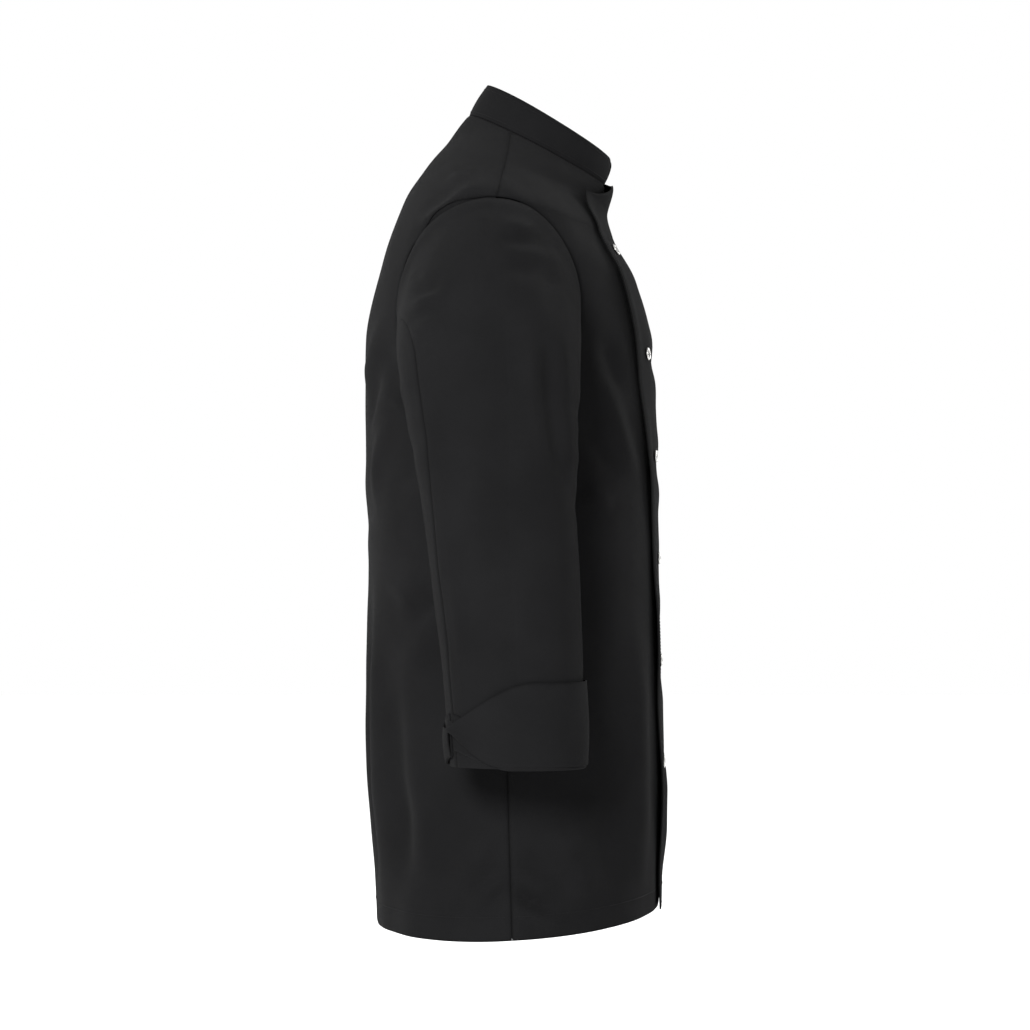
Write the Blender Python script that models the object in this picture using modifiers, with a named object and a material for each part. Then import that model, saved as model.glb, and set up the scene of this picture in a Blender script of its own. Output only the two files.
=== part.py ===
"""Chef jacket in its worn, hollow shape, with no wearer.

The jacket has a stand collar, a wide left-over-right lap with one row of ring press studs,
two-piece three-quarter sleeves and turned-back cuffs with a vent at the elbow seam.
Every piece is one shell of cloth. The origin is the middle of the neck seam, +Z is up,
the front faces -Y and the wearer's right side is at -X. Lengths are in metres.
"""

import math
from collections import namedtuple

import bmesh
import bpy
from mathutils import Vector

# Cloth, seams and layers
CLOTH_WALL = 0.0014
COLLAR_WALL = 0.0022
SEAM_GAP = 0.0006
RIDGE_GAP = 0.0020

# Torso sections, from the hem up to the neck seam. Each one is an oval through its back, side
# and front points; a squareness of 2 is an ellipse and more is boxier.
Section = namedtuple(
    "Section",
    "side_z side_x side_y back_y back_z front_y front_z back_square front_square",
)
SECTIONS = (
    Section(-0.7427, 0.212, 0.024, 0.1550, -0.743, -0.1175, -0.7255, 2.3, 2.6),
    Section(-0.600, 0.209, 0.028, 0.1590, -0.600, -0.1190, -0.600, 2.3, 2.6),
    Section(-0.450, 0.206, 0.031, 0.1605, -0.450, -0.1155, -0.450, 2.3, 2.5),
    Section(-0.320, 0.203, 0.034, 0.1650, -0.320, -0.1145, -0.320, 2.4, 2.2),
    Section(-0.265, 0.201, 0.038, 0.1655, -0.265, -0.1135, -0.265, 2.4, 2.1),
    Section(-0.180, 0.202, 0.041, 0.1650, -0.185, -0.1095, -0.195, 2.4, 2.0),
    Section(-0.115, 0.208, 0.041, 0.1490, -0.110, -0.0935, -0.130, 2.3, 2.0),
    Section(-0.062, 0.216, 0.038, 0.1280, -0.050, -0.0705, -0.086, 1.8, 1.7),
    Section(-0.024, 0.143, 0.033, 0.0970, -0.004, -0.0650, -0.058, 1.6, 1.5),
    Section(0.000, 0.069, 0.000, 0.0660, 0.034, -0.0650, -0.0335, 2.0, 2.0),
)
HEM_KEY, NECK_KEY = SECTIONS[0].side_z, SECTIONS[-1].side_z
TORSO_ROWS = (7, 10, 4)
SHOULDER_POINT_Y, SHOULDER_NECK_Y = 0.038, 0.0252
WIDEST_SHARE = 0.73

# Armhole: an egg in the side view, from the underarm to the shoulder point
ARMHOLE_LOW, ARMHOLE_TOP = -0.265, -0.062
ARMHOLE_Y = 0.043
ARMHOLE_BACK, ARMHOLE_FRONT = 0.087, 0.082
ARMHOLE_SQUARE = 2.2

# Lap of the left front over the right one: how far its free edge lies to the wearer's right at
# each height, how far it stands out, and how far its top edge dips below the neck seam
LapEdge = namedtuple("LapEdge", "z x")
LAP_EDGE = (
    LapEdge(-0.742, -0.086),
    LapEdge(-0.600, -0.090),
    LapEdge(-0.450, -0.090),
    LapEdge(-0.300, -0.094),
    LapEdge(-0.200, -0.103),
    LapEdge(-0.150, -0.108),
    LapEdge(-0.115, -0.108),
    LapEdge(-0.090, -0.098),
    LapEdge(-0.068, -0.086),
    LapEdge(-0.045, -0.070),
)
LAP_LIFT = 0.0028
LAP_RAMP = (0.062, 0.094)
LAP_DROP, LAP_DROP_FROM = 0.022, -0.160
LAP_FLARE, LAP_FLARE_Z, LAP_FLARE_X = 0.0060, (-0.066, -0.036), (0.022, 0.060)
LAP_GAPE, LAP_GAPE_REACH = 0.0020, 0.024
UNDERLAP_X = 0.048

# Collar: the lower edge is the neck seam, the upper edge an oval that leans forward
COLLAR_TOP_RX, COLLAR_TOP_RY = 0.064, 0.0603
COLLAR_TOP_Y, COLLAR_TOP_Z = -0.01275, 0.0270
COLLAR_TOP_SLOPE = 0.6025
COLLAR_END_DEG = 177.5
COLLAR_CORNER_DEG, COLLAR_CORNER_SHARE = 14.0, 0.42
COLLAR_BELLY = 0.0012
COLLAR_GAP = 0.0006

# Sleeve rings below the cap, with the angles of the elbow and forearm seams, measured from the
# outer side of the arm towards the back
Ring = namedtuple("Ring", "z x y half_depth half_width rise elbow_deg forearm_deg")
RINGS = (
    Ring(-0.240, -0.2590, 0.0430, 0.0805, 0.0510, 0.040, 56.0, 238.0),
    Ring(-0.290, -0.2625, 0.0398, 0.0755, 0.0510, 0.020, 55.0, 238.0),
    Ring(-0.340, -0.2660, 0.0360, 0.0702, 0.0500, 0.006, 59.0, 240.0),
    Ring(-0.420, -0.2720, 0.0290, 0.0664, 0.0485, 0.000, 63.0, 240.0),
    Ring(-0.500, -0.2770, 0.0232, 0.0630, 0.0465, 0.000, 63.0, 240.0),
    Ring(-0.578, -0.2810, 0.0195, 0.0605, 0.0440, 0.000, 63.0, 240.0),
)
CAP_TURN_DEG = (27.0, 72.0)
CAP_ELBOW_DEG, CAP_FOREARM_DEG = 90.0, 234.0
SLEEVE_GAP = 0.0009
SLEEVE_SEAM_GAP = 0.0012

# Turned-back cuff
CUFF_TOP_Z, CUFF_FOLD_Z = -0.501, -0.581
CUFF_LIFT = 0.0032
CUFF_LIP_DEPTH, CUFF_LIP_TURN, CUFF_LIP_LENGTH = 0.0058, 0.0036, 0.016
CUFF_VENT_DEG = 66.0
CUFF_VENT_HALF = 0.0016
CUFF_VENT_DROP = 0.052
CUFF_VENT_OUTER = (0.000, 0.055)
CUFF_VENT_UNDER = (0.022, 0.085)

# Press studs: a ring and a domed cap, in one row beside the free edge of the lap
STUD_COUNT = 6
STUD_TOP_Z, STUD_PITCH = -0.1025, 0.0972
STUD_INSET = 0.037
STUD_RADIUS, STUD_HEIGHT = 0.0060, 0.0019
STUD_CLEAR = 0.0006

# The largest soft folds: ridges (+) and hollows (-) between two points
Fold = namedtuple("Fold", "x0 y0 z0 x1 y1 z1 reach height")
FOLDS = (
    Fold(-0.165, 0.070, -0.047, -0.140, 0.136, -0.088, 0.012, 0.0030),
    Fold(0.165, 0.070, -0.047, 0.140, 0.136, -0.088, 0.012, 0.0026),
    Fold(-0.200, -0.020, -0.580, -0.206, -0.015, -0.735, 0.026, -0.0040),
    Fold(-0.190, 0.090, -0.560, -0.196, 0.088, -0.735, 0.028, 0.0035),
    Fold(0.200, -0.010, -0.600, 0.206, -0.005, -0.735, 0.026, -0.0035),
    Fold(0.190, 0.085, -0.580, 0.196, 0.088, -0.735, 0.028, 0.0035),
    Fold(0.050, 0.165, -0.420, 0.070, 0.158, -0.735, 0.030, -0.0030),
    Fold(-0.060, 0.165, -0.450, -0.085, 0.156, -0.735, 0.030, -0.0030),
)

CLOTH_COLOUR = (0.0105, 0.0105, 0.0110)
CLOTH_ROUGHNESS = 0.85
STUD_COLOUR = (0.62, 0.62, 0.61)
STUD_ROUGHNESS = 0.28

COLLECTION = "chef_jacket"


def blend(table, key, column):
    """Value of one column of a table at a height, on a smooth curve that keeps to its rows."""
    heights = [row[0] for row in table]
    values = [getattr(row, column) for row in table]
    if heights[0] > heights[-1]:
        heights.reverse()
        values.reverse()
    key = min(max(key, heights[0]), heights[-1])
    last = len(heights) - 1
    i = min(sum(1 for height in heights[1:] if height <= key), last - 1)
    steps = [heights[k + 1] - heights[k] for k in range(last)]
    slopes = [(values[k + 1] - values[k]) / steps[k] for k in range(last)]

    def tangent(k):
        if k == 0:
            return slopes[0]
        if k == last:
            return slopes[-1]
        before, after = slopes[k - 1], slopes[k]
        if before * after <= 0.0:
            return 0.0
        return 2.0 * before * after / (before + after)

    t = (key - heights[i]) / steps[i]
    m0, m1 = tangent(i) * steps[i], tangent(i + 1) * steps[i]
    return (
        (2 * t**3 - 3 * t**2 + 1) * values[i]
        + (t**3 - 2 * t**2 + t) * m0
        + (3 * t**2 - 2 * t**3) * values[i + 1]
        + (t**3 - t**2) * m1
    )


def soft_step(low, high, value):
    """0 below low, 1 above high and a smooth ramp between them."""
    t = min(max((value - low) / (high - low), 0.0), 1.0)
    return t * t * (3.0 - 2.0 * t)


def torso(degrees, key):
    """Point of the torso: 0 degrees is the middle of the back, 90 the right side, 180 the front."""
    turn = math.radians(degrees)
    towards_back = math.cos(turn)
    across = math.sin(turn)
    half = "back" if towards_back >= 0 else "front"
    power = 2.0 / blend(SECTIONS, key, half + "_square")
    side_y, side_z = (blend(SECTIONS, key, "side_" + axis) for axis in "yz")
    y0, z0 = (blend(SECTIONS, key, "back_" + axis) for axis in "yz")
    y1, z1 = (blend(SECTIONS, key, "front_" + axis) for axis in "yz")
    x = -blend(SECTIONS, key, "side_x") * math.copysign(abs(across) ** power, across)
    y = side_y + ((y0 if half == "back" else y1) - side_y) * abs(towards_back) ** power
    z = (
        z0 * (y - side_y) * (y - y1) / ((y0 - side_y) * (y0 - y1))
        + side_z * (y - y0) * (y - y1) / ((side_y - y0) * (side_y - y1))
        + z1 * (y - y0) * (y - side_y) / ((y1 - y0) * (y1 - side_y))
    )
    return Vector((x, y, z))


def torso_normal(degrees, key):
    """Outward direction of the torso at a point."""
    around = torso(degrees + 0.5, key) - torso(degrees - 0.5, key)
    up = torso(degrees, min(key + 0.002, NECK_KEY)) - torso(degrees, key - 0.002)
    return around.cross(up).normalized()


def find_turn(inside, outside, test):
    """Angle between two angles where a test changes from true to false."""
    for _ in range(26):
        middle = (inside + outside) / 2.0
        if test(middle):
            inside = middle
        else:
            outside = middle
    return (inside + outside) / 2.0


def in_armhole(degrees, key):
    """Whether a point of the torso lies in the armhole's egg, seen from the side."""
    point = torso(degrees, key)
    reach = ARMHOLE_BACK if point.y > ARMHOLE_Y else ARMHOLE_FRONT
    middle = (ARMHOLE_LOW + ARMHOLE_TOP) / 2.0
    half_height = (ARMHOLE_TOP - ARMHOLE_LOW) / 2.0
    depth = abs(point.y - ARMHOLE_Y) / reach
    height = abs(point.z - middle) / half_height
    return depth**ARMHOLE_SQUARE + height**ARMHOLE_SQUARE < 1.0


def side_edge(key, towards):
    """Angle of a panel's side edge: side seam, then armhole, then shoulder seam.

    towards is 0 for the back panel and 180 for a front panel.
    """
    if key <= ARMHOLE_LOW:
        return 90.0
    if key >= ARMHOLE_TOP:
        share = (key - ARMHOLE_TOP) / (NECK_KEY - ARMHOLE_TOP)
        seam_y = SHOULDER_POINT_Y + (SHOULDER_NECK_Y - SHOULDER_POINT_Y) * share
        return find_turn(50.0, 120.0, lambda degrees: torso(degrees, key).y > seam_y)
    return find_turn(90.0, towards, lambda degrees: in_armhole(degrees, key))


def turn_at_x(key, x):
    """Angle on the front of the torso at a distance x from its middle."""
    share = min(abs(x) / blend(SECTIONS, key, "side_x"), WIDEST_SHARE)
    sine = share ** (blend(SECTIONS, key, "front_square") / 2.0)
    return 180.0 + math.degrees(math.asin(math.copysign(sine, x)))


def lap_edge_turn(key):
    """Angle of the lap's free edge."""
    turn = turn_at_x(key, LAP_EDGE[-1].x)
    for _ in range(4):
        turn = turn_at_x(key, blend(LAP_EDGE, torso(turn, key).z, "x"))
    return turn


def lap_lift(degrees, key):
    """How far the lap stands out from the panel under it."""
    point = torso(degrees, key)
    lift = LAP_LIFT * (1.0 - soft_step(*LAP_RAMP, point.x))
    edge = blend(LAP_EDGE, point.z, "x")
    near_edge = 1.0 - soft_step(0.0, LAP_GAPE_REACH, point.x - edge)
    near_neck = soft_step(*LAP_FLARE_Z, point.z) * (1.0 - soft_step(*LAP_FLARE_X, point.x))
    return lift + LAP_GAPE * near_edge + LAP_FLARE * near_neck


def torso_keys(below, armhole, above):
    """Rows of a torso panel: evenly spaced, but closer together at both ends of the armhole."""
    low = [HEM_KEY + (ARMHOLE_LOW - HEM_KEY) * i / below for i in range(below)]
    middle, half = (ARMHOLE_LOW + ARMHOLE_TOP) / 2.0, (ARMHOLE_TOP - ARMHOLE_LOW) / 2.0
    hole = [middle - half * math.cos(math.pi * i / armhole) for i in range(armhole)]
    top = [ARMHOLE_TOP + (NECK_KEY - ARMHOLE_TOP) * i / above for i in range(above + 1)]
    return low + hole + top


def fold_lift(point):
    """Height of the soft folds at a point."""
    lift = 0.0
    for fold in FOLDS:
        start = Vector((fold.x0, fold.y0, fold.z0))
        along = Vector((fold.x1, fold.y1, fold.z1)) - start
        share = min(max((point - start).dot(along) / along.length_squared, 0.0), 1.0)
        distance = (point - start - along * share).length / fold.reach
        lift += fold.height * math.exp(-distance * distance)
    return lift


def pull_in(grid, gap, ridge_rows=0):
    """Moves the border of a grid of points towards its inside by half a seam's gap.

    The side borders of the last ridge_rows rows meet another piece along a ridge, where the
    inner faces of the cloth need more room.
    """
    rows, columns = len(grid), len(grid[0])
    moved = [list(row) for row in grid]
    for r in range(rows):
        side_gap = RIDGE_GAP if r >= rows - ridge_rows else gap
        for c in range(columns):
            step_r = 1 if r == 0 else -1 if r == rows - 1 else 0
            step_c = 1 if c == 0 else -1 if c == columns - 1 else 0
            for dr, dc, move in ((step_r, 0, gap / 2.0), (0, step_c, side_gap / 2.0)):
                if not dr and not dc:
                    continue
                inwards = grid[r + dr][c + dc] - grid[r][c]
                if inwards.length > 2.0 * move:
                    moved[r][c] = moved[r][c] + inwards.normalized() * move
    return moved


def cloth(name, grid, wall=CLOTH_WALL, mirror=False, folds=False, closed=False):
    """Shell of cloth from rows of points on its outer face, and its object."""
    mesh = bpy.data.meshes.new(name)
    shape = bmesh.new()
    rows = [[shape.verts.new(point) for point in row] for row in grid]
    columns = len(grid[0])
    for low, high in zip(rows, rows[1:]):
        for c in range(columns if closed else columns - 1):
            d = (c + 1) % columns
            shape.faces.new((low[c], low[d], high[d], high[c]))
    shape.normal_update()
    if folds:
        inner = [vertex for row in rows[1:-1] for vertex in row[1:-1]]
        lifts = [(vertex, vertex.normal * fold_lift(vertex.co)) for vertex in inner]
        for vertex, lift in lifts:
            vertex.co += lift
    shape.to_mesh(mesh)
    shape.free()
    piece = bpy.data.objects.new(name, mesh)
    if mirror:
        halves = piece.modifiers.new("Other half", "MIRROR")
        halves.use_axis[0] = True
        halves.merge_threshold = 0.0001
    shell = piece.modifiers.new("Cloth", "SOLIDIFY")
    shell.thickness = wall
    shell.offset = -1.0
    shell.use_even_offset = True
    shell.use_quality_normals = True
    return piece


def back_panel():
    """One back, from shoulder seam to hem, made as its right half and mirrored."""
    grid = []
    columns = 10
    for key in torso_keys(*TORSO_ROWS):
        edge = side_edge(key, 0.0)
        grid.append([torso(edge * c / columns, key) for c in range(columns + 1)])
    middle = [row[0].copy() for row in grid]
    grid = pull_in(grid, SEAM_GAP, ridge_rows=TORSO_ROWS[-1] + 1)
    for row, point in zip(grid, middle):
        row[0] = Vector((0.0, point.y, row[0].z))
    return cloth("back", grid, mirror=True, folds=True)


def front_under():
    """The wearer's right front, which runs on under the lap."""
    grid = []
    columns = 12
    for key in torso_keys(*TORSO_ROWS):
        edge = side_edge(key, 180.0)
        inner = turn_at_x(key, UNDERLAP_X)
        grid.append([torso(edge + (inner - edge) * c / columns, key) for c in range(columns + 1)])
    return cloth("front_right", pull_in(grid, SEAM_GAP, ridge_rows=TORSO_ROWS[-1] + 1), folds=True)


def front_over():
    """The wearer's left front, which laps over the right one."""
    grid = []
    columns = 16
    for key in torso_keys(*TORSO_ROWS):
        seam = 360.0 - side_edge(key, 180.0)
        drop = LAP_DROP * soft_step(LAP_DROP_FROM, NECK_KEY, key)
        edge = lap_edge_turn(key - drop)
        row = []
        for c in range(columns + 1):
            turn = edge + (seam - edge) * (c / columns) ** 1.1
            beyond_middle = max(0.0, (180.0 - turn) / (180.0 - edge))
            lower = key - drop * beyond_middle
            row.append(torso(turn, lower) + torso_normal(turn, lower) * lap_lift(turn, lower))
        grid.append(row)
    return cloth("front_left", pull_in(grid, SEAM_GAP, ridge_rows=TORSO_ROWS[-1] + 1), folds=True)


def collar_top(degrees):
    """Point of the collar's upper edge line, before its corners are rounded."""
    turn = math.radians(degrees)
    y = COLLAR_TOP_Y + COLLAR_TOP_RY * math.cos(turn)
    z = COLLAR_TOP_Z + COLLAR_TOP_SLOPE * (y - COLLAR_TOP_Y)
    return Vector((-COLLAR_TOP_RX * math.sin(turn), y, z))


def collar():
    """Stand collar, open at the middle of the front, with rounded front corners."""
    steps, levels = 36, 3
    grid = []
    for level in range(levels + 1):
        row = []
        for i in range(steps + 1):
            degrees = COLLAR_END_DEG * (1.0 - 2.0 * i / steps)
            to_end = (COLLAR_END_DEG - abs(degrees)) / COLLAR_CORNER_DEG
            corner = 1.0 - math.sqrt(1.0 - max(0.0, 1.0 - to_end) ** 2)
            share = (level / levels) * (1.0 - COLLAR_CORNER_SHARE * corner)
            seam = torso(degrees % 360.0, NECK_KEY)
            outwards = Vector((seam.x, seam.y, 0.0)).normalized()
            belly = outwards * COLLAR_BELLY * math.sin(math.pi * share)
            row.append(seam.lerp(collar_top(degrees), share) + belly)
        grid.append(row)
    grid = pull_in(grid, COLLAR_GAP)
    grid = [list(reversed(row)) for row in grid]
    return cloth("collar", grid, wall=COLLAR_WALL)


def armhole_point(degrees):
    """Point of the right armhole: 0 degrees is the shoulder point, 90 the back, 180 the underarm."""
    middle, half = (ARMHOLE_LOW + ARMHOLE_TOP) / 2.0, (ARMHOLE_TOP - ARMHOLE_LOW) / 2.0
    key = middle + half * math.cos(math.radians(degrees))
    towards = 0.0 if degrees % 360.0 < 180.0 else 180.0
    return torso(side_edge(key, towards), key)


def ring_point(degrees, z):
    """Point of the right sleeve below its cap, at a ring's own height z."""
    turn = math.radians(degrees)
    outer = math.cos(turn)
    return Vector(
        (
            blend(RINGS, z, "x") - blend(RINGS, z, "half_width") * outer,
            blend(RINGS, z, "y") + blend(RINGS, z, "half_depth") * math.sin(turn),
            z + blend(RINGS, z, "rise") * outer,
        )
    )


def cap_point(degrees, share):
    """Point of the sleeve's cap, which leaves the armhole sideways and turns down the arm."""
    start, end = armhole_point(degrees), ring_point(degrees, RINGS[0].z)
    down = (ring_point(degrees, RINGS[1].z) - end).normalized()
    low, high = (math.radians(value) for value in CAP_TURN_DEG)
    dive = low + (high - low) * (1.0 - math.cos(math.radians(degrees))) / 2.0
    leave = Vector((-math.cos(dive), 0.0, -math.sin(dive)))
    start = start + leave * SLEEVE_GAP
    chord = (end - start).length
    t = share
    return (
        start * (2 * t**3 - 3 * t**2 + 1)
        + leave * chord * (t**3 - 2 * t**2 + t)
        + end * (3 * t**2 - 2 * t**3)
        + down * chord * (t**3 - t**2)
    )


def sleeve_rows(first, last, columns, cap_steps, ring_steps):
    """Rows of points of one piece of the right sleeve, between two seams."""
    grid = []
    cap_seam = {"elbow_deg": CAP_ELBOW_DEG, "forearm_deg": CAP_FOREARM_DEG}

    def seam_turn(name, z, share):
        turn = cap_seam[name] + (getattr(RINGS[0], name) - cap_seam[name]) * soft_step(0.0, 1.0, share)
        return turn if share < 1.0 else blend(RINGS, z, name)

    for i in range(cap_steps):
        share = i / cap_steps
        a, b = (seam_turn(name, RINGS[0].z, share) + offset for name, offset in (first, last))
        grid.append([cap_point(a + (b - a) * c / columns, share) for c in range(columns + 1)])
    for i in range(ring_steps + 1):
        z = RINGS[0].z + (RINGS[-1].z - RINGS[0].z) * i / ring_steps
        a, b = (seam_turn(name, z, 1.0) + offset for name, offset in (first, last))
        grid.append([ring_point(a + (b - a) * c / columns, z) for c in range(columns + 1)])
    return pull_in(grid, SLEEVE_SEAM_GAP)


def on_side(grid, side):
    """The same points on the wearer's right (-1) or left (+1), with the faces still facing out."""
    if side < 0:
        return grid
    return [[Vector((-point.x, point.y, point.z)) for point in reversed(row)] for row in grid]


def sleeve(side, word):
    """Top sleeve and under sleeve of one arm."""
    top = sleeve_rows(("forearm_deg", -360.0), ("elbow_deg", 0.0), 12, 6, 8)
    under = sleeve_rows(("elbow_deg", 0.0), ("forearm_deg", 0.0), 8, 6, 8)
    return [
        cloth(f"sleeve_{word}_top", on_side(top, side)),
        cloth(f"sleeve_{word}_under", on_side(under, side)),
    ]


def cuff_point(degrees, z, lift):
    """Point beside the sleeve's end, lifted out from it or sunk into it."""
    point = ring_point(degrees, max(z, RINGS[-1].z))
    middle = Vector((blend(RINGS, z, "x"), blend(RINGS, z, "y"), 0.0))
    outwards = Vector((point.x, point.y, 0.0)) - middle
    point = point + outwards.normalized() * lift
    return Vector((point.x, point.y, z))


def cuff_top(degrees, mean_radius):
    """Height of the cuff's upper edge, which falls away on both sides of the vent."""
    outer = math.radians(CUFF_VENT_DEG + 360.0 - degrees) * mean_radius
    under = math.radians(degrees - CUFF_VENT_DEG) * mean_radius
    rise = min(soft_step(*CUFF_VENT_OUTER, outer), soft_step(*CUFF_VENT_UNDER, under))
    return CUFF_TOP_Z - CUFF_VENT_DROP * (1.0 - rise)


def cuff(side, word):
    """Turned-back cuff: a band outside the sleeve, folded round its end, open at the vent."""
    steps = 28
    mean_radius = (RINGS[-1].half_depth + RINGS[-1].half_width) / 2.0
    half_vent = math.degrees(CUFF_VENT_HALF / mean_radius)
    first, span = CUFF_VENT_DEG + half_vent, 360.0 - 2.0 * half_vent
    angles = [first + span * i / steps for i in range(steps + 1)]
    grid = []
    for share, lift in ((0.0, 1.0), (0.45, 1.0), (0.94, 1.0), (1.0, 0.25)):
        row = []
        for degrees in angles:
            top = cuff_top(degrees, mean_radius)
            row.append(cuff_point(degrees, top + (CUFF_FOLD_Z - top) * share, CUFF_LIFT * lift))
        grid.append(row)
    for above_fold, depth in (
        (0.0, CUFF_LIP_TURN),
        (CUFF_LIP_LENGTH / 3.0, CUFF_LIP_DEPTH),
        (CUFF_LIP_LENGTH, CUFF_LIP_DEPTH),
    ):
        grid.append([cuff_point(degrees, CUFF_FOLD_Z + above_fold, -depth) for degrees in angles])
    return cloth(f"cuff_{word}", on_side(grid, side))


def stud(index):
    """Ring press stud: a low turned cap with a raised ring, upright on the lap."""
    mesh = bpy.data.meshes.new(f"press_stud_{index}")
    shape = bmesh.new()
    outline = (
        (0.0, STUD_HEIGHT * 0.62),
        (STUD_RADIUS * 0.52, STUD_HEIGHT * 0.55),
        (STUD_RADIUS * 0.62, STUD_HEIGHT * 0.86),
        (STUD_RADIUS * 0.80, STUD_HEIGHT),
        (STUD_RADIUS * 0.95, STUD_HEIGHT * 0.75),
        (STUD_RADIUS, STUD_HEIGHT * 0.35),
        (STUD_RADIUS * 0.94, 0.0),
        (0.0, 0.0),
    )
    points = [shape.verts.new((radius, 0.0, height)) for radius, height in outline]
    for a, b in zip(points, points[1:]):
        shape.edges.new((a, b))
    shape.to_mesh(mesh)
    shape.free()
    piece = bpy.data.objects.new(f"press_stud_{index}", mesh)
    turned = piece.modifiers.new("Turned", "SCREW")
    turned.steps = turned.render_steps = 20
    turned.use_merge_vertices = True
    turned.merge_threshold = 0.00005
    turned.use_normal_calculate = True
    z = STUD_TOP_Z - STUD_PITCH * (index - 1)
    x = blend(LAP_EDGE, z, "x") + STUD_INSET
    key = z
    for _ in range(8):
        turn = turn_at_x(key, x)
        key += z - torso(turn, key).z
    out = torso_normal(turn, key)
    piece.location = torso(turn, key) + out * (lap_lift(turn, key) + STUD_CLEAR)
    piece.rotation_mode = "QUATERNION"
    piece.rotation_quaternion = out.to_track_quat("Z", "Y")
    return piece


def material(name, colour, roughness, metallic):
    """Principled material of one piece."""
    made = bpy.data.materials.new(name)
    made.use_nodes = True
    shader = made.node_tree.nodes["Principled BSDF"]
    shader.inputs["Base Color"].default_value = (*colour, 1.0)
    shader.inputs["Roughness"].default_value = roughness
    shader.inputs["Metallic"].default_value = metallic
    return made


def add(collection, piece, metal=False):
    """Puts a piece in the collection with its own material, shaded smooth."""
    collection.objects.link(piece)
    colour, roughness = (STUD_COLOUR, STUD_ROUGHNESS) if metal else (CLOTH_COLOUR, CLOTH_ROUGHNESS)
    piece.data.materials.append(material(piece.name, colour, roughness, 1.0 if metal else 0.0))
    piece.data.shade_smooth()


def main():
    """Clears the scene and makes every piece of the jacket."""
    for old in list(bpy.data.objects):
        bpy.data.objects.remove(old, do_unlink=True)
    collection = bpy.data.collections.new(COLLECTION)
    bpy.context.scene.collection.children.link(collection)
    pieces = [back_panel(), front_under(), front_over(), collar()]
    for side, word in ((-1, "right"), (1, "left")):
        pieces += sleeve(side, word)
        pieces.append(cuff(side, word))
    for piece in pieces:
        add(collection, piece)
    for index in range(1, STUD_COUNT + 1):
        add(collection, stud(index), metal=True)


main()
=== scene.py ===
"""Looks of a black chef jacket in its worn, hollow shape.

The jacket has a stand collar, a wide left-over-right lap with ring press studs, two-piece
three-quarter sleeves and turned-back cuffs with a vent at the elbow seam. Lengths are in metres.
The origin is the middle of the neck seam, +Z is up, the front faces -Y and the wearer's right
side is at -X.
"""

from __future__ import annotations

import logging
import math
from dataclasses import dataclass, field
from enum import Enum
from typing import Callable, Iterable, NamedTuple, Sequence

import bpy
import numpy as np
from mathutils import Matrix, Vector


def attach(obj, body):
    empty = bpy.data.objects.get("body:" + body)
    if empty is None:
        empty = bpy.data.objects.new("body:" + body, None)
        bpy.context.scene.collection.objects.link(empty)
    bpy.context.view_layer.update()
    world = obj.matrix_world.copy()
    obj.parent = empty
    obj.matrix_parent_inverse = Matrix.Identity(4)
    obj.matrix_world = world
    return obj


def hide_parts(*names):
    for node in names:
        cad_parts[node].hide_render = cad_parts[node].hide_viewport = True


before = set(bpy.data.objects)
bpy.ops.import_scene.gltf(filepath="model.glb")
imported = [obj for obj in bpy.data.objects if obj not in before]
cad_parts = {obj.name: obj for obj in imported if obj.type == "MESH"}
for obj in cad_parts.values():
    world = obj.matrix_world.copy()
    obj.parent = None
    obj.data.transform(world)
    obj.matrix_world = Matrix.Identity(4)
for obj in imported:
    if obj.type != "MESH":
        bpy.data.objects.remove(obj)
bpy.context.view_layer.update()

Array = np.ndarray
log = logging.getLogger("chef_jacket")

GRAIN_MAP = "grain"
EDGE_DISTANCE = "edge_distance"
FOLD_STRENGTH = 1.7
SLEEVE_FOLD_STRENGTH = 1.0
SEAM_GROOVE = 0.0006
SEAM_GROOVE_REACH = 0.0015
POLISHED = 0.24
RUBBED = 0.42


# ---- Numbers ----


def soft_step(low: float, high: float, value: Array) -> Array:
    """Smooth ramp.

    Args:
        low: Value at and below which the ramp is 0.
        high: Value at and above which it is 1.
        value: Numbers to read on the ramp.

    Returns:
        Numbers from 0 to 1.
    """
    t = np.clip((value - low) / (high - low), 0.0, 1.0)
    return t * t * (3.0 - 2.0 * t)


def unit(vectors: Array) -> Array:
    """Vectors scaled to a length of 1."""
    return vectors / np.maximum(np.linalg.norm(vectors, axis=-1, keepdims=True), 1e-12)


def hermite(t: Array, start: Array, leave: Array, end: Array, arrive: Array) -> Array:
    """Smooth curve between two values.

    Args:
        t: 0 at the start, 1 at the end.
        start: Value at the start.
        leave: Slope at the start.
        end: Value at the end.
        arrive: Slope at the end.

    Returns:
        Values of the curve at t.
    """
    return (
        start * (2 * t**3 - 3 * t**2 + 1)
        + leave * (t**3 - 2 * t**2 + t)
        + end * (3 * t**2 - 2 * t**3)
        + arrive * (t**3 - t**2)
    )


def crossing(start: Array, end: Array, before: Callable[[Array], Array], rounds: int) -> Array:
    """Finds by halving where a test stops being true.

    Args:
        start: Places where it is true.
        end: Places where it is false.
        before: The test.
        rounds: How often each span is halved.

    Returns:
        The last places found where it is true.
    """
    for _ in range(rounds):
        middle = (start + end) / 2.0
        still = before(middle)
        start, end = np.where(still, middle, start), np.where(still, end, middle)
    return start


def sampled(at: Array, keys: Array, points: Array) -> Array:
    """Points of a polyline.

    Args:
        at: Where to read it.
        keys: Where its own points are.
        points: Its own points.

    Returns:
        One point for each place.
    """
    return np.stack([np.interp(at, keys, points[:, axis]) for axis in range(3)], -1)


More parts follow.
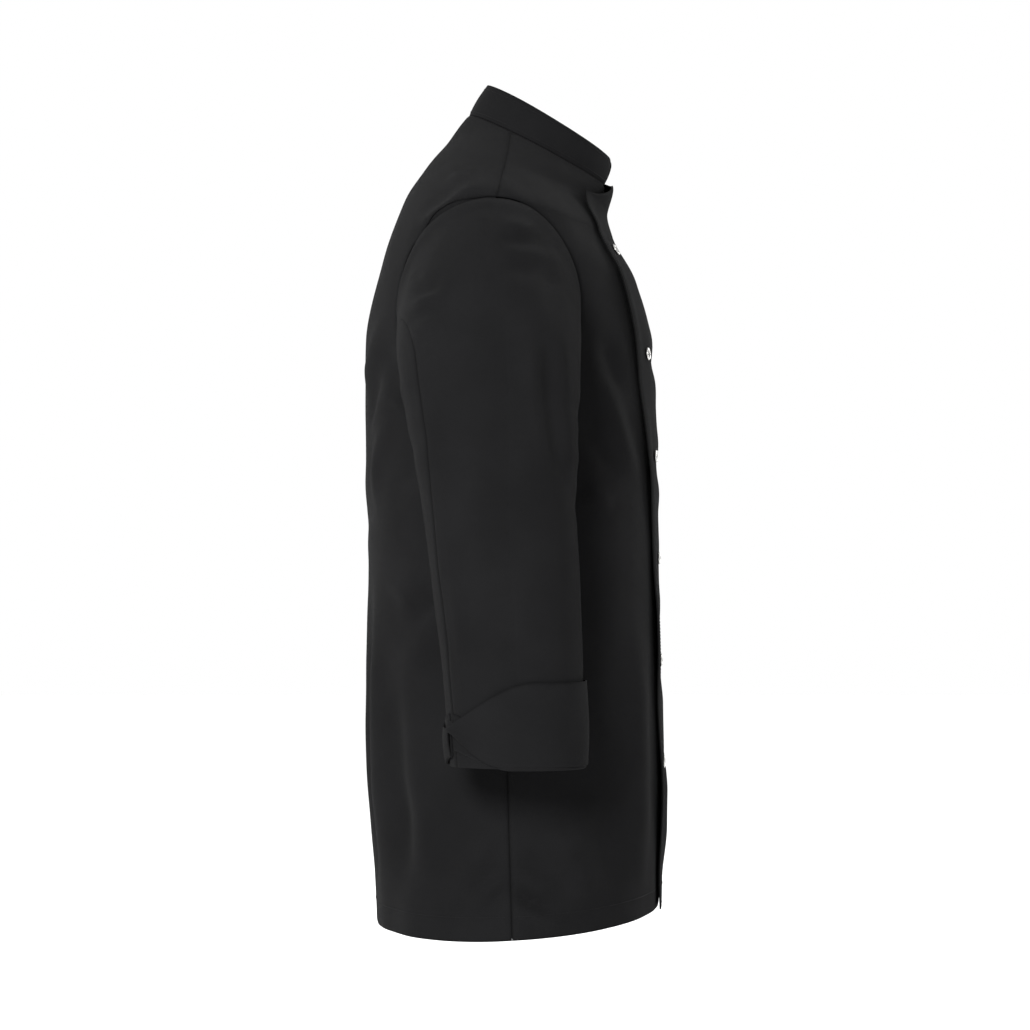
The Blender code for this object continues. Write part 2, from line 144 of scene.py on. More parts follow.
class SmoothTable:
    """Columns of a table, each on a smooth curve over the first column that keeps to its rows."""

    def __init__(self, rows: Sequence[tuple]) -> None:
        """Works out the curve's tangents.

        Args:
            rows: Named tuples whose first field is the key.
        """
        data = np.array(rows, float)
        data = data[np.argsort(data[:, 0])]
        slopes = np.diff(data, axis=0) / np.diff(data[:, 0])[:, None]
        product = slopes[:-1] * slopes[1:]
        total = np.where(product > 0.0, slopes[:-1] + slopes[1:], 1.0)
        inner = np.where(product > 0.0, 2.0 * product / total, 0.0)
        self._names = rows[0]._fields
        self._data = data
        self._tangents = np.vstack([slopes[:1], inner, slopes[-1:]])

    def __call__(self, name: str, key: Array) -> Array:
        """Values of one column.

        Args:
            name: The column's field name.
            key: Where to read it.

        Returns:
            An array of the key's shape.
        """
        column = self._names.index(name)
        keys, values = self._data[:, 0], self._data[:, column]
        key = np.clip(key, keys[0], keys[-1])
        i = np.clip(np.searchsorted(keys, key, side="right") - 1, 0, len(keys) - 2)
        step = keys[i + 1] - keys[i]
        t = (key - keys[i]) / step
        leave = self._tangents[i, column] * step
        arrive = self._tangents[i + 1, column] * step
        return hermite(t, values[i], leave, values[i + 1], arrive)


# ---- Form of the torso ----


class Section(NamedTuple):
    """Oval through the torso's back, side and front; a squareness of 2 is an ellipse."""

    side_z: float
    side_x: float
    side_y: float
    back_y: float
    back_z: float
    front_y: float
    front_z: float
    back_square: float
    front_square: float


class LapEdge(NamedTuple):
    """How far the lap's free edge lies to the wearer's right at one height."""

    z: float
    x: float


SECTIONS = (
    Section(-0.7427, 0.212, 0.024, 0.1550, -0.743, -0.1175, -0.7255, 2.3, 2.6),
    Section(-0.600, 0.209, 0.028, 0.1590, -0.600, -0.1190, -0.600, 2.3, 2.6),
    Section(-0.450, 0.206, 0.031, 0.1605, -0.450, -0.1155, -0.450, 2.3, 2.5),
    Section(-0.320, 0.203, 0.034, 0.1650, -0.320, -0.1145, -0.320, 2.4, 2.2),
    Section(-0.265, 0.201, 0.038, 0.1655, -0.265, -0.1135, -0.265, 2.4, 2.1),
    Section(-0.180, 0.202, 0.041, 0.1650, -0.185, -0.1095, -0.195, 2.4, 2.0),
    Section(-0.115, 0.208, 0.041, 0.1490, -0.110, -0.0935, -0.130, 2.3, 2.0),
    Section(-0.062, 0.216, 0.038, 0.1280, -0.050, -0.0705, -0.086, 1.8, 1.7),
    Section(-0.024, 0.143, 0.033, 0.0970, -0.004, -0.0650, -0.058, 1.6, 1.5),
    Section(0.000, 0.069, 0.000, 0.0660, 0.034, -0.0650, -0.0335, 2.0, 2.0),
)
LAP_EDGE = (
    LapEdge(-0.742, -0.086),
    LapEdge(-0.600, -0.090),
    LapEdge(-0.450, -0.090),
    LapEdge(-0.300, -0.094),
    LapEdge(-0.200, -0.103),
    LapEdge(-0.150, -0.108),
    LapEdge(-0.115, -0.108),
    LapEdge(-0.090, -0.098),
    LapEdge(-0.068, -0.086),
    LapEdge(-0.045, -0.070),
)


@dataclass
class TorsoForm:
    """Outer surface of the torso.

    A place on it is (around, key). around is 0 in the middle of the back, 1 at the right side,
    2 in the middle of the front and negative on the left; key is the height of the side.
    """

    armhole_low: float = -0.265
    armhole_top: float = -0.062
    armhole_y: float = 0.043
    armhole_back: float = 0.087
    armhole_front: float = 0.082
    armhole_square: float = 2.2
    shoulder_point_y: float = 0.038
    shoulder_neck_y: float = 0.0252
    side_scale: float = 0.3
    sections: SmoothTable = field(default_factory=lambda: SmoothTable(SECTIONS))

    def __post_init__(self) -> None:
        """Tabulates the angle at each place, so that places are evenly spaced round the torso."""
        self.hem, self.neck = SECTIONS[0].side_z, SECTIONS[-1].side_z
        self._keys = np.linspace(self.hem, self.neck, 300)
        self._around = np.linspace(0.0, 2.0, 321)
        self._turns = np.empty((len(self._keys), len(self._around)))
        for r, key in enumerate(self._keys):
            found = []
            for first in (0.0, 90.0):
                fine = first + 45.0 * (1.0 - np.cos(np.linspace(0.0, math.pi, 400)))
                steps = np.linalg.norm(np.diff(self.at_turn(fine, key), axis=0), axis=1)
                length = np.concatenate([[0.0], np.cumsum(steps)]) / steps.sum()
                found.append(np.interp(np.linspace(0.0, 1.0, 161), length, fine))
            self._turns[r] = np.concatenate([found[0], found[1][1:]])

    def at_turn(self, degrees: Array, key: Array) -> Array:
        """Points of the surface at angles round it.

        Args:
            degrees: 0 in the middle of the back, 90 at the right side, 180 in front.
            key: Heights of the side.

        Returns:
            Points, one for each pair.
        """
        degrees, key = np.broadcast_arrays(np.asarray(degrees, float), np.asarray(key, float))
        turn = np.radians(degrees)
        towards_back, across = np.cos(turn), np.sin(turn)
        table = self.sections
        behind = towards_back >= 0.0
        power = 2.0 / np.where(behind, table("back_square", key), table("front_square", key))
        side_y, side_z = table("side_y", key), table("side_z", key)
        y0, z0 = table("back_y", key), table("back_z", key)
        y1, z1 = table("front_y", key), table("front_z", key)
        x = -table("side_x", key) * np.sign(across) * np.abs(across) ** power
        end = np.where(behind, y0, y1)
        y = side_y + (end - side_y) * np.abs(towards_back) ** power
        z = (
            z0 * (y - side_y) * (y - y1) / ((y0 - side_y) * (y0 - y1))
            + side_z * (y - y0) * (y - y1) / ((side_y - y0) * (side_y - y1))
            + z1 * (y - y0) * (y - side_y) / ((y1 - y0) * (y1 - side_y))
        )
        return np.stack([x, y, z], axis=-1)

    def turn(self, around: Array, key: Array) -> Array:
        """Angles in degrees of places on the surface.

        Args:
            around: How far round each place lies.
            key: Height of the side at each place.

        Returns:
            An angle for each place.
        """
        wrapped = (np.asarray(around, float) + 2.0) % 4.0 - 2.0
        column = np.clip(np.abs(wrapped), 0.0, 2.0) / 2.0 * (len(self._around) - 1)
        row = (np.clip(key, self.hem, self.neck) - self.hem) / (self.neck - self.hem)
        row = row * (len(self._keys) - 1)
        c = np.minimum(column.astype(int), len(self._around) - 2)
        r = np.minimum(row.astype(int), len(self._keys) - 2)
        u, v = column - c, row - r
        low = self._turns[r, c] * (1 - u) + self._turns[r, c + 1] * u
        high = self._turns[r + 1, c] * (1 - u) + self._turns[r + 1, c + 1] * u
        return np.sign(wrapped) * (low * (1 - v) + high * v)

    def point(self, around: Array, key: Array) -> Array:
        """Points of the surface at places on it."""
        return self.at_turn(self.turn(around, key), key)

    def normal(self, around: Array, key: Array) -> Array:
        """Outward directions of the surface at places on it.

        Args:
            around: How far round each place lies.
            key: Height of the side at each place.

        Returns:
            A direction of length 1 for each place.
        """
        turn, step_deg, step_up = self.turn(around, key), 0.6, 0.002
        along = self.at_turn(turn + step_deg, key) - self.at_turn(turn - step_deg, key)
        above = self.at_turn(turn, np.minimum(key + step_up, self.neck))
        return unit(np.cross(along, above - self.at_turn(turn, key - step_up)))

    @property
    def armhole_span(self) -> tuple[float, float]:
        """Height of the armhole's middle, and half its height."""
        middle = (self.armhole_low + self.armhole_top) / 2.0
        return middle, (self.armhole_top - self.armhole_low) / 2.0

    def armhole_gap(self, around: Array, key: Array) -> Array:
        """How far outside the armhole's egg a place lies, seen from the side.

        Args:
            around: How far round each place lies.
            key: Height of the side at each place.

        Returns:
            Distances in metres, below 0 inside the armhole.
        """
        point = self.point(around, key)
        reach = np.where(point[..., 1] > self.armhole_y, self.armhole_back, self.armhole_front)
        middle, half = self.armhole_span
        depth = np.abs(point[..., 1] - self.armhole_y) / reach
        height = np.abs(point[..., 2] - middle) / half
        power = self.armhole_square
        return ((depth**power + height**power) ** (1.0 / power) - 1.0) * reach

    def shoulder_gap(self, around: Array, key: Array) -> Array:
        """How far behind the shoulder seam, or below the arm the side seam, a place lies.

        Args:
            around: How far round each place lies.
            key: Height of the side at each place.

        Returns:
            Distances in metres, below 0 in front of the seam.
        """
        share = (key - self.armhole_top) / (self.neck - self.armhole_top)
        seam_y = self.shoulder_point_y + (self.shoulder_neck_y - self.shoulder_point_y) * share
        behind_shoulder = self.point(around, key)[..., 1] - seam_y
        behind_side = (1.0 - np.abs(around)) * self.side_scale
        return np.where(key > self.armhole_top, behind_shoulder, behind_side)

    def armhole_places(self, degrees: Array, scale: float = 1.0) -> tuple[Array, Array]:
        """Places round the right armhole.

        Args:
            degrees: 0 at the shoulder point, 90 at the back, 180 at the underarm.
            scale: Size of the egg, 1 on the armhole itself.

        Returns:
            The places' two coordinates.
        """
        middle, half = self.armhole_span
        key = middle + half * scale * np.cos(np.radians(degrees))
        behind = degrees % 360.0 < 180.0
        reach = np.where(behind, self.armhole_back, self.armhole_front)
        middle_of_panel = np.where(behind, 0.0, 2.0)
        around = crossing(
            np.ones_like(key),
            middle_of_panel,
            lambda between: self.armhole_gap(between, key) < (scale - 1.0) * reach,
            rounds=30,
        )
        return around, key

    def seam_around(self, key: Array) -> Array:
        """Where the right shoulder seam, or the side seam, crosses each row."""
        behind, ahead = np.full(key.shape, 0.8), np.full(key.shape, 1.35)
        return crossing(
            behind, ahead, lambda around: self.shoulder_gap(around, key) > 0.0, rounds=24
        )

    def beyond_middle(self, key: Array, x: Array) -> Array:
        """Where a distance from the middle of the front lies.

        Args:
            key: Rows.
            x: Distances from the middle.

        Returns:
            How far round each lies, 0 in the middle and 1 at the side.
        """
        middle, far = np.zeros(key.shape), np.full(key.shape, 0.85)
        return crossing(
            middle,
            far,
            lambda beyond: np.abs(self.point(2.0 - beyond, key)[..., 0]) < np.abs(x),
            rounds=22,
        )


# ---- Folds ----


class Facing(Enum):
    """Side of the jacket that a fold lies on: the way it looks and the two axes it is drawn in."""

    RIGHT = ((-1.0, 0.0, 0.0), (1, 2))
    LEFT = ((1.0, 0.0, 0.0), (1, 2))
    FRONT = ((0.0, -1.0, 0.0), (0, 2))
    BACK = ((0.0, 1.0, 0.0), (0, 2))


class Fold(NamedTuple):
    """Soft ridge, or trough where height is below 0, from one place to another."""

    facing: Facing
    across_0: float
    z_0: float
    across_1: float
    z_1: float
    bow: float
    reach: float
    height: float

    def lift(self, points: Array, normals: Array) -> Array:
        """Height of the fold.

        Args:
            points: Places on the cloth.
            normals: Outward directions there.

        Returns:
            How far each place moves out.
        """
        look, axes = self.facing.value
        flat = points[:, axes]
        start, end = np.array([self.across_0, self.z_0]), np.array([self.across_1, self.z_1])
        chord = end - start
        sideways = np.array([-chord[1], chord[0]]) / max(np.linalg.norm(chord), 1e-9)
        middle = (start + end) / 2.0 + sideways * self.bow * 2.0
        room = 3.2 * self.reach + abs(self.bow)
        low, high = np.minimum(start, end) - room, np.maximum(start, end) + room
        near = np.all((flat > low) & (flat < high), axis=1)
        facing = soft_step(-0.02, 0.28, normals[near] @ np.array(look))
        t = np.linspace(0.0, 1.0, 15)[:, None]
        curve = start * (1 - t) ** 2 + 2 * middle * t * (1 - t) + end * t**2
        best, share = np.full(near.sum(), 1e9), np.zeros(near.sum())
        for i, (a, b) in enumerate(zip(curve, curve[1:])):
            step = b - a
            along = np.clip((flat[near] - a) @ step / (step @ step), 0.0, 1.0)
            distance = np.linalg.norm(flat[near] - a - along[:, None] * step, axis=1)
            closer = distance < best
            best = np.where(closer, distance, best)
            share = np.where(closer, (i + along) / (len(curve) - 1), share)
        wide = best / self.reach
        beside = (wide - 2.0) / 0.9
        profile = np.exp(-wide * wide) - 0.2 * np.exp(-beside * beside)
        fade = soft_step(0.0, 0.4, share) * soft_step(0.0, 0.4, 1.0 - share)
        moved = np.zeros(len(points))
        moved[near] = self.height * profile * fade * facing
        return moved

    def opposite(self, stretch: float, slide: float, height: float) -> Fold:
        """The same kind of fold on the other side, with its own length, place and height.

        Args:
            stretch: Its share of the length.
            slide: How far it moves back and down.
            height: Its share of the height.

        Returns:
            The other side's fold.
        """
        other = {Facing.RIGHT: Facing.LEFT, Facing.LEFT: Facing.RIGHT}[self.facing]
        half_y, half_z = (self.across_1 - self.across_0) / 2.0, (self.z_1 - self.z_0) / 2.0
        middle_y, middle_z = self.across_0 + half_y, self.z_0 + half_z
        return Fold(
            other,
            middle_y - half_y * stretch + slide,
            middle_z - half_z * stretch - slide,
            middle_y + half_y * stretch + slide,
            middle_z + half_z * stretch - slide,
            self.bow * stretch,
            self.reach * (0.8 + 0.25 * stretch),
            self.height * height,
        )


R, L, F, B = Facing.RIGHT, Facing.LEFT, Facing.FRONT, Facing.BACK

BODY_SIDE_FOLDS = (
    Fold(R, 0.114, -0.086, 0.052, -0.044, 0.005, 0.0065, 0.0034),
    Fold(R, 0.12, -0.102, 0.074, -0.07, 0.003, 0.006, -0.0018),
    Fold(R, 0.086, -0.0395, 0.053, -0.0415, -0.002, 0.0055, 0.002),
    Fold(R, 0.147, -0.19, 0.122, -0.23, 0.002, 0.01, -0.0022),
    Fold(R, 0.148, -0.233, 0.118, -0.248, 0.002, 0.008, 0.0018),
    Fold(R, 0.143, -0.33, 0.105, -0.305, 0.003, 0.011, -0.0018),
    Fold(R, 0.14, -0.435, 0.098, -0.408, -0.003, 0.013, 0.0026),
    Fold(R, 0.125, -0.452, 0.086, -0.422, 0.002, 0.0085, -0.0028),
    Fold(R, 0.135, -0.49, 0.088, -0.464, 0.003, 0.012, 0.0018),
    Fold(R, 0.123, -0.59, 0.128, -0.72, 0.006, 0.018, -0.0034),
    Fold(R, 0.092, -0.718, 0.042, -0.638, 0.006, 0.011, 0.0032),
    Fold(R, 0.064, -0.725, 0.03, -0.695, 0.003, 0.007, -0.0022),
    Fold(R, 0.052, -0.7, 0.029, -0.68, 0.001, 0.006, 0.0018),
    Fold(R, 0.028, -0.676, -0.024, -0.692, 0.005, 0.008, 0.003),
    Fold(R, 0.026, -0.689, -0.024, -0.718, 0.006, 0.006, -0.0034),
    Fold(R, 0.012, -0.708, -0.03, -0.73, 0.003, 0.008, 0.0022),
    Fold(R, -0.028, -0.635, -0.05, -0.725, 0.004, 0.017, 0.0036),
    Fold(R, -0.062, -0.6, -0.076, -0.71, 0.004, 0.015, -0.0026),
    Fold(R, -0.036, -0.33, -0.074, -0.344, 0.002, 0.01, 0.002),
    Fold(R, -0.042, -0.245, -0.082, -0.315, 0.006, 0.012, -0.002),
    Fold(R, 0.03, -0.275, 0.01, -0.43, 0.005, 0.016, -0.003),
    Fold(R, -0.005, -0.3, -0.03, -0.5, 0.008, 0.02, 0.0026),
)
BACK_FOLDS = (
    Fold(B, -0.148, -0.175, -0.05, -0.25, 0.01, 0.014, 0.0025),
    Fold(B, -0.14, -0.215, -0.07, -0.28, 0.008, 0.011, -0.0023),
    Fold(B, -0.155, -0.26, -0.095, -0.35, 0.012, 0.013, 0.0021),
    Fold(B, 0.15, -0.165, 0.038, -0.23, -0.012, 0.015, 0.0027),
    Fold(B, 0.138, -0.205, 0.076, -0.26, -0.007, 0.011, -0.0021),
    Fold(B, 0.156, -0.25, 0.088, -0.365, -0.014, 0.014, 0.0023),
    Fold(B, -0.09, -0.39, -0.112, -0.725, 0.009, 0.022, 0.0039),
    Fold(B, -0.042, -0.46, -0.056, -0.73, 0.007, 0.019, -0.0036),
    Fold(B, 0.012, -0.35, 0.005, -0.73, -0.008, 0.024, 0.0032),
    Fold(B, 0.064, -0.48, 0.078, -0.728, -0.006, 0.018, -0.0034),
    Fold(B, 0.113, -0.37, 0.13, -0.725, -0.01, 0.022, 0.0037),
    Fold(B, 0.148, -0.52, 0.16, -0.72, -0.004, 0.015, -0.0025),
    Fold(B, -0.142, -0.49, -0.156, -0.72, 0.005, 0.015, -0.0027),
    Fold(B, -0.11, -0.335, 0.02, -0.355, -0.008, 0.016, -0.0015),
    Fold(B, -0.02, -0.38, 0.105, -0.36, -0.006, 0.015, -0.0014),
    Fold(B, -0.07, 0.002, 0.06, 0.0, 0.005, 0.011, -0.001),
)
FRONT_FOLDS = (
    Fold(F, -0.145, -0.18, -0.118, -0.245, -0.005, 0.012, -0.0028),
    Fold(F, -0.15, -0.22, -0.112, -0.33, -0.008, 0.013, 0.003),
    Fold(F, 0.146, -0.165, 0.042, -0.245, -0.012, 0.015, 0.0032),
    Fold(F, 0.14, -0.205, 0.065, -0.275, -0.008, 0.011, -0.003),
    Fold(F, 0.155, -0.245, 0.09, -0.35, -0.011, 0.014, 0.003),
    Fold(F, -0.05, -0.2, 0.035, -0.228, 0.007, 0.012, -0.0022),
    Fold(F, -0.048, -0.297, 0.055, -0.34, 0.008, 0.012, -0.0026),
    Fold(F, -0.045, -0.398, 0.04, -0.45, 0.006, 0.013, -0.0022),
    Fold(F, -0.04, -0.495, 0.03, -0.55, 0.006, 0.012, -0.0018),
    Fold(F, 0.09, -0.36, 0.112, -0.71, 0.008, 0.022, 0.0046),
    Fold(F, 0.04, -0.47, 0.05, -0.715, 0.006, 0.018, -0.0034),
    Fold(F, 0.145, -0.45, 0.156, -0.715, 0.006, 0.018, -0.0042),
    Fold(F, -0.128, -0.42, -0.14, -0.715, -0.006, 0.018, 0.0036),
    Fold(F, -0.015, -0.56, -0.008, -0.715, 0.004, 0.016, 0.0028),
    Fold(F, 0.075, -0.09, 0.03, -0.135, 0.006, 0.012, -0.0018),
)
SLEEVE_FOLDS = (
    Fold(R, 0.119, -0.134, 0.103, -0.135, 0.0006, 0.0034, -0.002),
    Fold(R, 0.12, -0.148, 0.082, -0.142, 0.002, 0.0075, -0.0032),
    Fold(R, 0.119, -0.166, 0.081, -0.156, 0.0015, 0.006, 0.003),
    Fold(R, 0.118, -0.174, 0.083, -0.164, 0.001, 0.0055, -0.0022),
    Fold(R, 0.118, -0.192, 0.093, -0.181, 0.001, 0.0065, 0.002),
    Fold(R, 0.036, -0.089, -0.005, -0.093, 0.002, 0.0065, 0.0026),
    Fold(R, 0.04, -0.102, -0.005, -0.106, 0.002, 0.0065, -0.0026),
    Fold(R, 0.014, -0.111, -0.026, -0.124, 0.003, 0.0075, 0.0034),
    Fold(R, 0.036, -0.126, -0.002, -0.134, 0.002, 0.009, -0.0028),
    Fold(R, -0.004, -0.134, -0.026, -0.144, 0.001, 0.007, -0.002),
    Fold(R, -0.007, -0.17, -0.029, -0.348, 0.005, 0.0075, -0.0042),
    Fold(R, -0.02, -0.18, -0.027, -0.265, 0.002, 0.007, 0.0022),
    Fold(R, 0.086, -0.39, 0.074, -0.5, 0.003, 0.008, -0.0018),
    Fold(R, 0.076, -0.23, 0.052, -0.36, 0.006, 0.016, 0.0018),
    Fold(R, 0.01, -0.24, 0.006, -0.46, 0.005, 0.018, -0.0014),
    Fold(R, 0.03, -0.415, -0.01, -0.46, 0.004, 0.013, 0.0012),
)
SLEEVE_INNER_FOLDS = (
    Fold(L, 0.1, -0.235, 0.035, -0.255, 0.004, 0.009, -0.0036),
    Fold(L, 0.095, -0.265, 0.02, -0.285, 0.005, 0.008, 0.003),
    Fold(L, 0.085, -0.295, 0.01, -0.315, 0.005, 0.009, -0.0028),
    Fold(L, 0.07, -0.34, 0.0, -0.365, 0.005, 0.011, 0.0022),
)
SLEEVE_FRONT_FOLDS = (
    Fold(F, -0.295, -0.25, -0.245, -0.275, 0.004, 0.009, -0.0014),
    Fold(F, -0.3, -0.29, -0.25, -0.315, 0.004, 0.008, 0.0011),
    Fold(F, -0.298, -0.33, -0.252, -0.36, 0.004, 0.009, -0.0012),
    Fold(B, -0.295, -0.225, -0.235, -0.245, -0.004, 0.01, 0.0012),
    Fold(B, -0.3, -0.27, -0.245, -0.3, -0.004, 0.01, -0.0013),
)


class Ripple:
    """Faint unevenness of pressed cloth: a sum of long, shallow waves."""

    def __init__(self, seed: int, height: float = 0.00034, waves: int = 28) -> None:
        """Draws the waves.

        Args:
            seed: Start of the random draw.
            height: Typical height of the sum.
            waves: How many waves.
        """
        draw = np.random.default_rng(seed)
        length = draw.uniform(0.035, 0.13, waves)
        self._direction = unit(draw.normal(size=(waves, 3)) * (1.0, 1.0, 0.45))
        self._direction *= (2.0 * math.pi / length)[:, None]
        self._phase = draw.uniform(0.0, 2.0 * math.pi, waves)
        self._height = height * np.sqrt(2.0 / waves)

    def __call__(self, points: Array) -> Array:
        """Height of the waves at points."""
        return np.sin(points @ self._direction.T + self._phase).sum(axis=1) * self._height


def opposite_folds(folds: Iterable[Fold], seed: int) -> list[Fold]:
    """Folds for the other side of the jacket, each a little different.

    Args:
        folds: Folds of one side.
        seed: Start of the random draw.

    Returns:
        One fold for each.
    """
    draw = np.random.default_rng(seed)
    made = []
    for fold in folds:
        stretch, slide = draw.uniform(0.75, 1.2), draw.uniform(-0.006, 0.006)
        made.append(fold.opposite(stretch, slide, height=draw.uniform(0.7, 1.2)))
    return made


def lifted(
    points: Array,
    normals: Array,
    folds: Iterable[Fold],
    ripple: Ripple,
    strength: float = FOLD_STRENGTH,
) -> Array:
    """Points of smooth cloth moved out and in by its folds.

    Args:
        points: Places on the smooth surface.
        normals: Outward directions there.
        folds: The folds that it has.
        ripple: Its faint unevenness.
        strength: Share of the folds' heights.

    Returns:
        The moved points.
    """
    lift = ripple(points)
    for fold in folds:
        lift = lift + strength * fold.lift(points, normals)
    return points + normals * lift[:, None]


# ---- Meshes ----


@dataclass
class ClothMesh:
    """Outer face of a piece of cloth, before it gets its thickness."""

    points: Array
    faces: list[tuple[int, ...]]
    grain: Array
    edge: Array

    @property
    def area(self) -> float:
        """Area of the face in square metres.

        Returns:
            The sum over its three- and four-sided faces.
        """
        total = 0.0
        for count in (3, 4):
            group = np.array([face for face in self.faces if len(face) == count])
            for i in range(1, count - 1):
                if len(group):
                    corner = self.points[group[:, [0, i, i + 1]]]
                    cross = np.cross(corner[:, 1] - corner[:, 0], corner[:, 2] - corner[:, 0])
                    total += np.linalg.norm(cross, axis=1).sum() / 2.0
        return float(total)


def grid_cells(valid: Array) -> list[tuple[int, ...]]:
    """Faces of a grid, with a triangle where one corner of a cell is missing.

    Args:
        valid: Whether each point of the grid is used, by row and column.

    Returns:
        Corner numbers of each face.
    """
    rows, columns = valid.shape
    number = np.arange(rows * columns).reshape(rows, columns)
    left, right = number[:, :-1], number[:, 1:]
    cells = np.stack([left[:-1], right[:-1], right[1:], left[1:]], axis=-1).reshape(-1, 4)
    used = valid.reshape(-1)[cells]
    whole = [tuple(cell) for cell in cells[used.sum(axis=1) == 4].tolist()]
    partial = used.sum(axis=1) == 3
    cut = [
        tuple(corner for corner, keep in zip(cell, keeps) if keep)
        for cell, keeps in zip(cells[partial].tolist(), used[partial].tolist())
    ]
    return whole + cut


def compact(points: Array, faces: list[tuple[int, ...]], *columns: Array) -> tuple:
    """Leaves out the points that no face uses.

    Args:
        points: All points.
        faces: Corner numbers.
        columns: More values of each point.

    Returns:
        Points, faces and the columns, renumbered.
    """
    used = np.zeros(len(points), bool)
    used[np.concatenate([np.array(face) for face in faces])] = True
    renumber = np.cumsum(used) - 1
    moved = [tuple(int(renumber[corner]) for corner in face) for face in faces]
    return points[used], moved, *(column[used] for column in columns)


def grain_of(points: Array) -> Array:
    """Cloth coordinates of a grid: distances along its rows and down its columns.

    Args:
        points: Points by row and column.

    Returns:
        Two numbers for each point, in metres.
    """
    across = np.linalg.norm(np.diff(points, axis=1), axis=2)
    down = np.linalg.norm(np.diff(points, axis=0), axis=2)
    u = np.concatenate([np.zeros((len(points), 1)), np.cumsum(across, axis=1)], axis=1)
    u -= u[:, u.shape[1] // 2][:, None]
    v = np.concatenate([np.zeros((1, points.shape[1])), np.cumsum(down, axis=0)], axis=0)
    return np.stack([u, v], axis=-1)


def grooved(points: Array, normals: Array, edge: Array) -> Array:
    """Points drawn in beside a seam, where the cloth turns under.

    Args:
        points: Points of the cloth.
        normals: Outward directions there.
        edge: Distance of each point to the nearest seam.

    Returns:
        The moved points.
    """
    depth = SEAM_GROOVE * np.exp(-((edge.reshape(-1) / SEAM_GROOVE_REACH) ** 2))
    return points - normals * depth[:, None]


def on_side(side: int, points: Array, faces: list[tuple[int, ...]]) -> tuple[Array, list]:
    """Puts cloth made for the right arm on its own arm.

    Args:
        side: Below 0 for the right arm, above 0 for the left one.
        points: Points on the right arm.
        faces: Corner numbers that face out there.

    Returns:
        Points and faces on the arm.
    """
    if side < 0:
        return points, faces
    return points * (-1.0, 1.0, 1.0), [face[::-1] for face in faces]


def mesh_object(
    name: str,
    points: Array,
    faces: Sequence[Sequence[int]],
    material: bpy.types.Material,
    grain: Array | None = None,
    edge: Array | None = None,
) -> bpy.types.Object:
    """Makes a smooth mesh object.

    Args:
        name: Its name.
        points: Its points.
        faces: Corner numbers of its faces.
        material: Its finish.
        grain: Cloth coordinates of each point.
        edge: Distance of each point to the nearest edge of the cloth.

    Returns:
        The object, in the scene.
    """
    mesh = bpy.data.meshes.new(name)
    mesh.from_pydata(np.asarray(points).tolist(), [], faces)
    mesh.shade_smooth()
    if grain is not None:
        corners = np.empty(len(mesh.loops), np.int32)
        mesh.loops.foreach_get("vertex_index", corners)
        layer = mesh.uv_layers.new(name=GRAIN_MAP)
        layer.uv.foreach_set("vector", grain[corners].astype(np.float32).reshape(-1))
    if edge is not None:
        attribute = mesh.attributes.new(EDGE_DISTANCE, "FLOAT", "POINT")
        attribute.data.foreach_set("value", edge.astype(np.float32))
    mesh.materials.append(material)
    made = bpy.data.objects.new(name, mesh)
    bpy.context.scene.collection.objects.link(made)
    return made


def cloth_object(
    name: str, cloth: ClothMesh, material: bpy.types.Material, wall: float = 0.0013
) -> bpy.types.Object:
    """Gives a face of cloth its thickness and softly rounded edges.

    Args:
        name: The piece's name.
        cloth: Its outer face.
        material: Its finish.
        wall: Its thickness.

    Returns:
        The piece.
    """
    made = mesh_object(name, cloth.points, cloth.faces, material, cloth.grain, cloth.edge)
    shell = made.modifiers.new("Cloth", "SOLIDIFY")
    shell.thickness = wall
    shell.offset = -1.0
    shell.use_quality_normals = True
    rounded = made.modifiers.new("Soft edges", "BEVEL")
    rounded.width = wall * 0.34
    rounded.segments = 2
    rounded.limit_method = "ANGLE"
    rounded.angle_limit = math.radians(50.0)
    made.modifiers.new("Flat beside edges", "WEIGHTED_NORMAL").keep_sharp = False
    return made


def finish_piece(piece: bpy.types.Object, nodes: Sequence[str]) -> None:
    """Puts a piece on its body, in place of its nodes.

    Args:
        piece: The piece.
        nodes: The CAD nodes that it stands for.
    """
    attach(piece, "root")
    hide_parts(*nodes)
    log.info("%s: %d faces", piece.name, len(piece.data.polygons))


def hung_sheet(node: str, cloth: ClothMesh, material: bpy.types.Material) -> None:
    """Makes and dresses a sheet of cloth that stands for one node.

    Args:
        node: The node's name.
        cloth: Its outer face.
        material: Its finish.
    """
    piece = cloth_object(f"{node}_cloth", cloth, material)
    finish_piece(piece, [node])


# ---- Finishes ----


